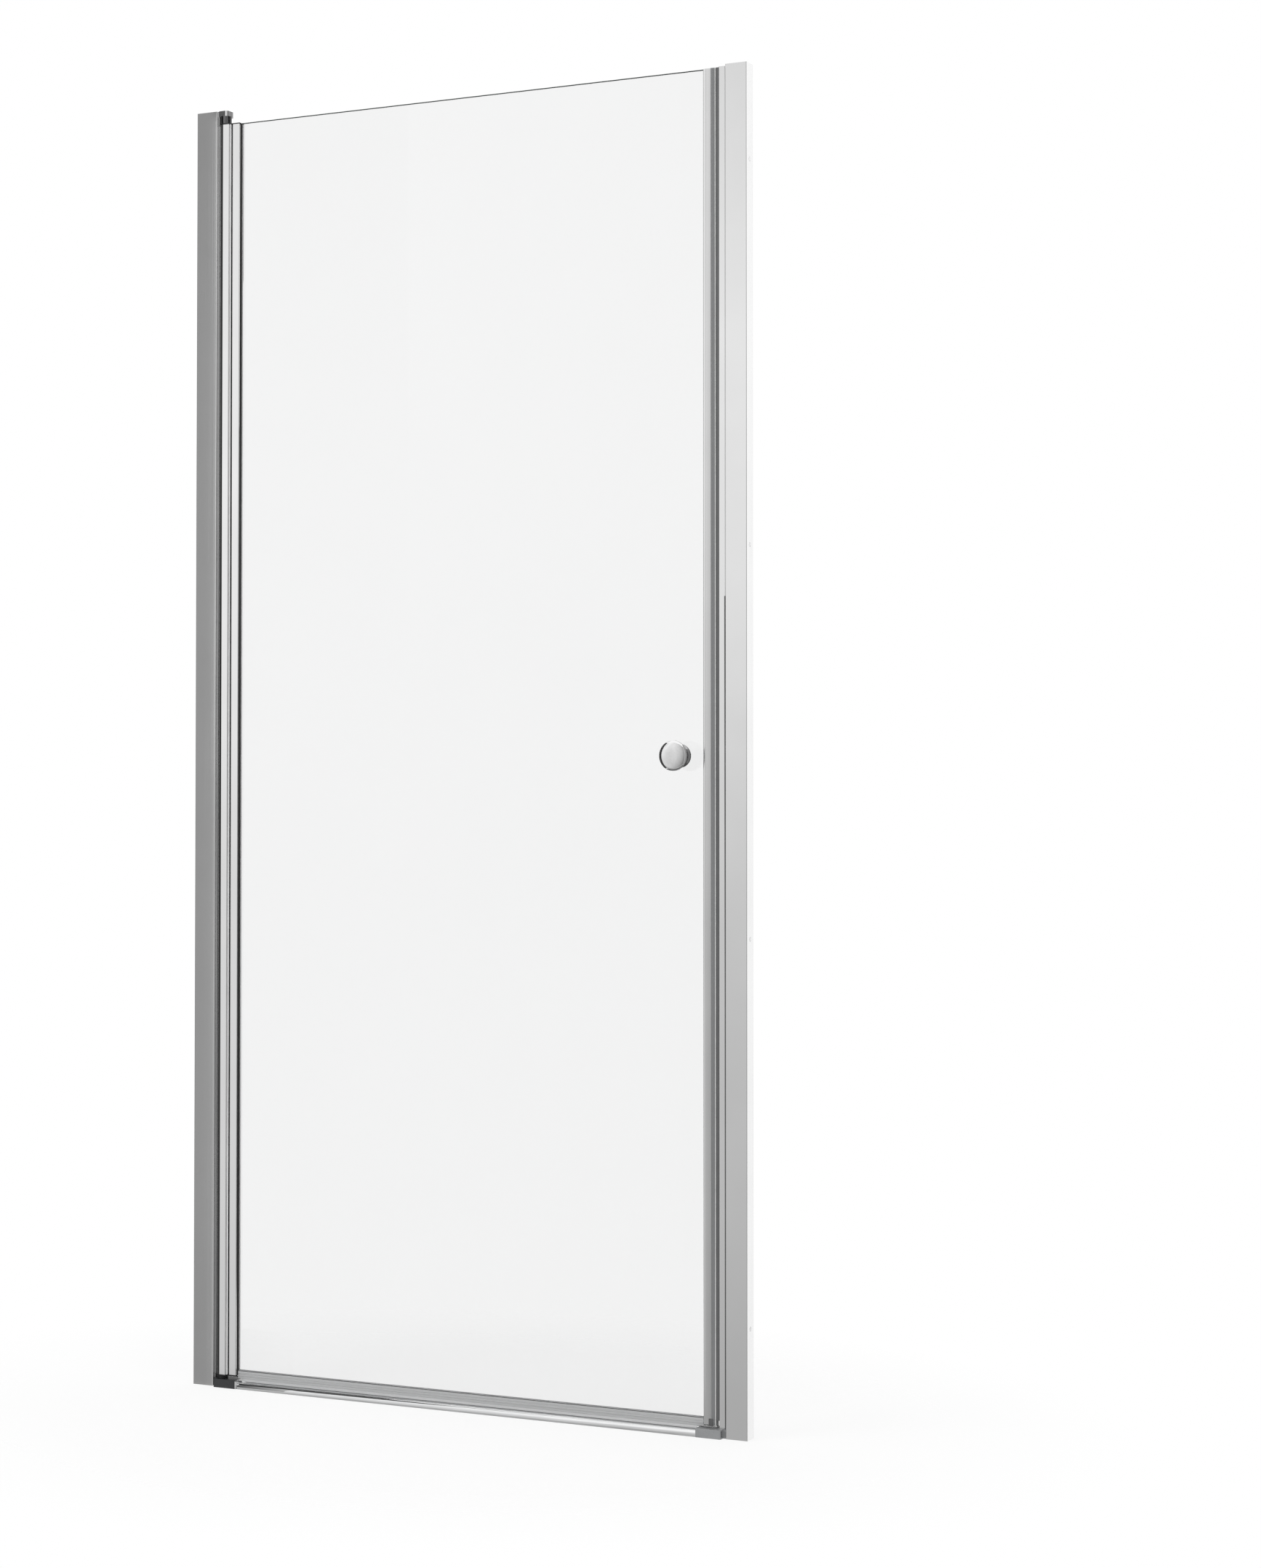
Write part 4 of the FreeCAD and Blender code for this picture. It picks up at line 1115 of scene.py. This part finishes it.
@dataclass(frozen=True)
class SoftLamp:
    """A square area lamp, which polished faces don't show. Sizes in metres."""

    name: str
    place: Triple
    size: float
    power: float

    def build(self, target: Triple) -> None:
        """Hang the lamp.

        Args:
            target: The point that it is aimed at.
        """
        lamp = bpy.data.lights.new(self.name, "AREA")
        lamp.size = self.size
        lamp.energy = self.power
        holder = bpy.data.objects.new(self.name, lamp)
        holder.visible_glossy = False
        holder.visible_transmission = False
        turn = (Vector(target) - Vector(self.place)).to_track_quat("-Z", "Y").to_matrix().to_4x4()
        holder.matrix_world = Matrix.Translation(self.place) @ turn
        bpy.context.scene.collection.objects.link(holder)


@dataclass
class Studio:
    """Floor, world, cards, lamps and camera. Sizes in metres, and in pixels for the image."""

    image_height: int = 2156
    camera_place: Triple = (2.0782, -3.7248, 0.8809)
    camera_turn: Triple = (25.903, 1.230, 0.009)
    camera_reach: float = 60.0
    sensor_width: float = 36.0
    focal_pixels: float = 4087.1
    centre_rise: float = 76.5
    floor_reach: Span = (1.0, 0.8)
    floor_fade: Span = (0.6, 0.98)
    floor_sides: int = 96
    floor_colour: Colour = (0.985, 0.985, 0.985)
    floor_roughness: float = 0.8
    floor_glow: float = 0.84
    fill_strength: float = 0.84
    cards: tuple[GreyCard, ...] = CARDS
    lamps: tuple[SoftLamp, ...] = (
        SoftLamp("key", (-2.2, -3.4, 3.2), 2.4, 55.0),
        SoftLamp("fill", (3.0, -2.6, 2.2), 2.0, 20.0),
    )
    lamp_target: Triple = (0.0, 0.0, 0.9)

    def build(self) -> None:
        """Build the whole studio."""
        bpy.context.scene.view_settings.view_transform = "Standard"
        self.build_world()
        self.build_floor()
        for card in self.cards:
            card.build()
        for lamp in self.lamps:
            lamp.build(self.lamp_target)
        self.build_camera()

    def build_world(self) -> None:
        """White for what is looked at, through and into, and an even fill for what is lit."""
        world = bpy.data.worlds.new("studio")
        bpy.context.scene.world = world
        world.use_nodes = True
        tree = world.node_tree
        tree.nodes.clear()
        path = tree.nodes.new("ShaderNodeLightPath")
        seen = path.outputs["Is Camera Ray"]
        for ray in ("Is Glossy Ray", "Is Transmission Ray"):
            either = tree.nodes.new("ShaderNodeMath")
            either.operation = "MAXIMUM"
            tree.links.new(seen, either.inputs[0])
            tree.links.new(path.outputs[ray], either.inputs[1])
            seen = either.outputs[0]
        mix = tree.nodes.new("ShaderNodeMixShader")
        feed(mix, {"Fac": seen})
        for slot, strength in ((1, self.fill_strength), (2, 1.0)):
            light = tree.nodes.new("ShaderNodeBackground")
            feed(light, {"Color": (1.0, 1.0, 1.0, 1.0), "Strength": strength})
            tree.links.new(light.outputs[0], mix.inputs[slot])
        feed(tree.nodes.new("ShaderNodeOutputWorld"), {"Surface": mix.outputs[0]})

    def build_floor(self) -> None:
        """A pale floor under the door, which fades out into the white round it."""
        mesh = bpy.data.meshes.new("floor")
        shape = bmesh.new()
        bmesh.ops.create_circle(shape, cap_ends=True, segments=self.floor_sides, radius=1.0)
        bmesh.ops.scale(shape, vec=(*self.floor_reach, 1.0), verts=shape.verts)
        shape.to_mesh(mesh)
        shape.free()
        floor = bpy.data.objects.new("floor", mesh)
        bpy.context.scene.collection.objects.link(floor)
        sheet = ShaderSheet("pale_floor")
        sheet.feed_shader(
            Base_Color=(*shade(self.floor_colour, 1 - self.floor_glow), 1.0), Roughness=self.floor_roughness,
            Specular_IOR_Level=0.0, Emission_Color=(*self.floor_colour, 1.0), Emission_Strength=self.floor_glow,
        )
        spot = sheet.place((1 / self.floor_reach[0], 1 / self.floor_reach[1], 1.0))
        away = sheet.add("ShaderNodeVectorMath", Vector=spot)
        away.operation = "LENGTH"
        sheet.feed_shader(Alpha=sheet.spread(away.outputs["Value"], (1.0, 0.0), self.floor_fade))
        mesh.materials.append(sheet.material)
        floor.visible_glossy = False

    def build_camera(self) -> None:
        """Set the camera where the photograph was taken from."""
        yaw, pitch, roll = (math.radians(angle) for angle in self.camera_turn)
        ahead = Vector((-math.sin(yaw) * math.cos(pitch), math.cos(yaw) * math.cos(pitch), math.sin(pitch)))
        right = Vector((math.cos(yaw), math.sin(yaw), 0.0))
        up = right.cross(ahead)
        tilted_right = right * math.cos(roll) + up * math.sin(roll)
        tilted_up = up * math.cos(roll) - right * math.sin(roll)
        lens = bpy.data.cameras.new("camera")
        lens.sensor_width = self.sensor_width
        lens.lens = self.focal_pixels / self.image_height * lens.sensor_width
        lens.shift_y = -self.centre_rise / self.image_height
        lens.clip_end = self.camera_reach
        camera = bpy.data.objects.new("camera", lens)
        turn = Matrix((tilted_right, tilted_up, -ahead)).transposed()
        camera.matrix_world = Matrix.Translation(self.camera_place) @ turn.to_4x4()
        bpy.context.scene.collection.objects.link(camera)
        bpy.context.scene.camera = camera


def main() -> None:
    """Build and dress the door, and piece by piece."""
    logging.basicConfig(level=logging.INFO, format="%(name)s: %(message)s")
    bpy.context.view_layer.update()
    for assembly in (WallFrame(), Pivots(), Threshold(), HingeRail(), Pane(), Seals(), KnobSet()):
        assembly.build()
        assembly.dress()
    Studio().build()


if __name__ == "__main__":
    main()
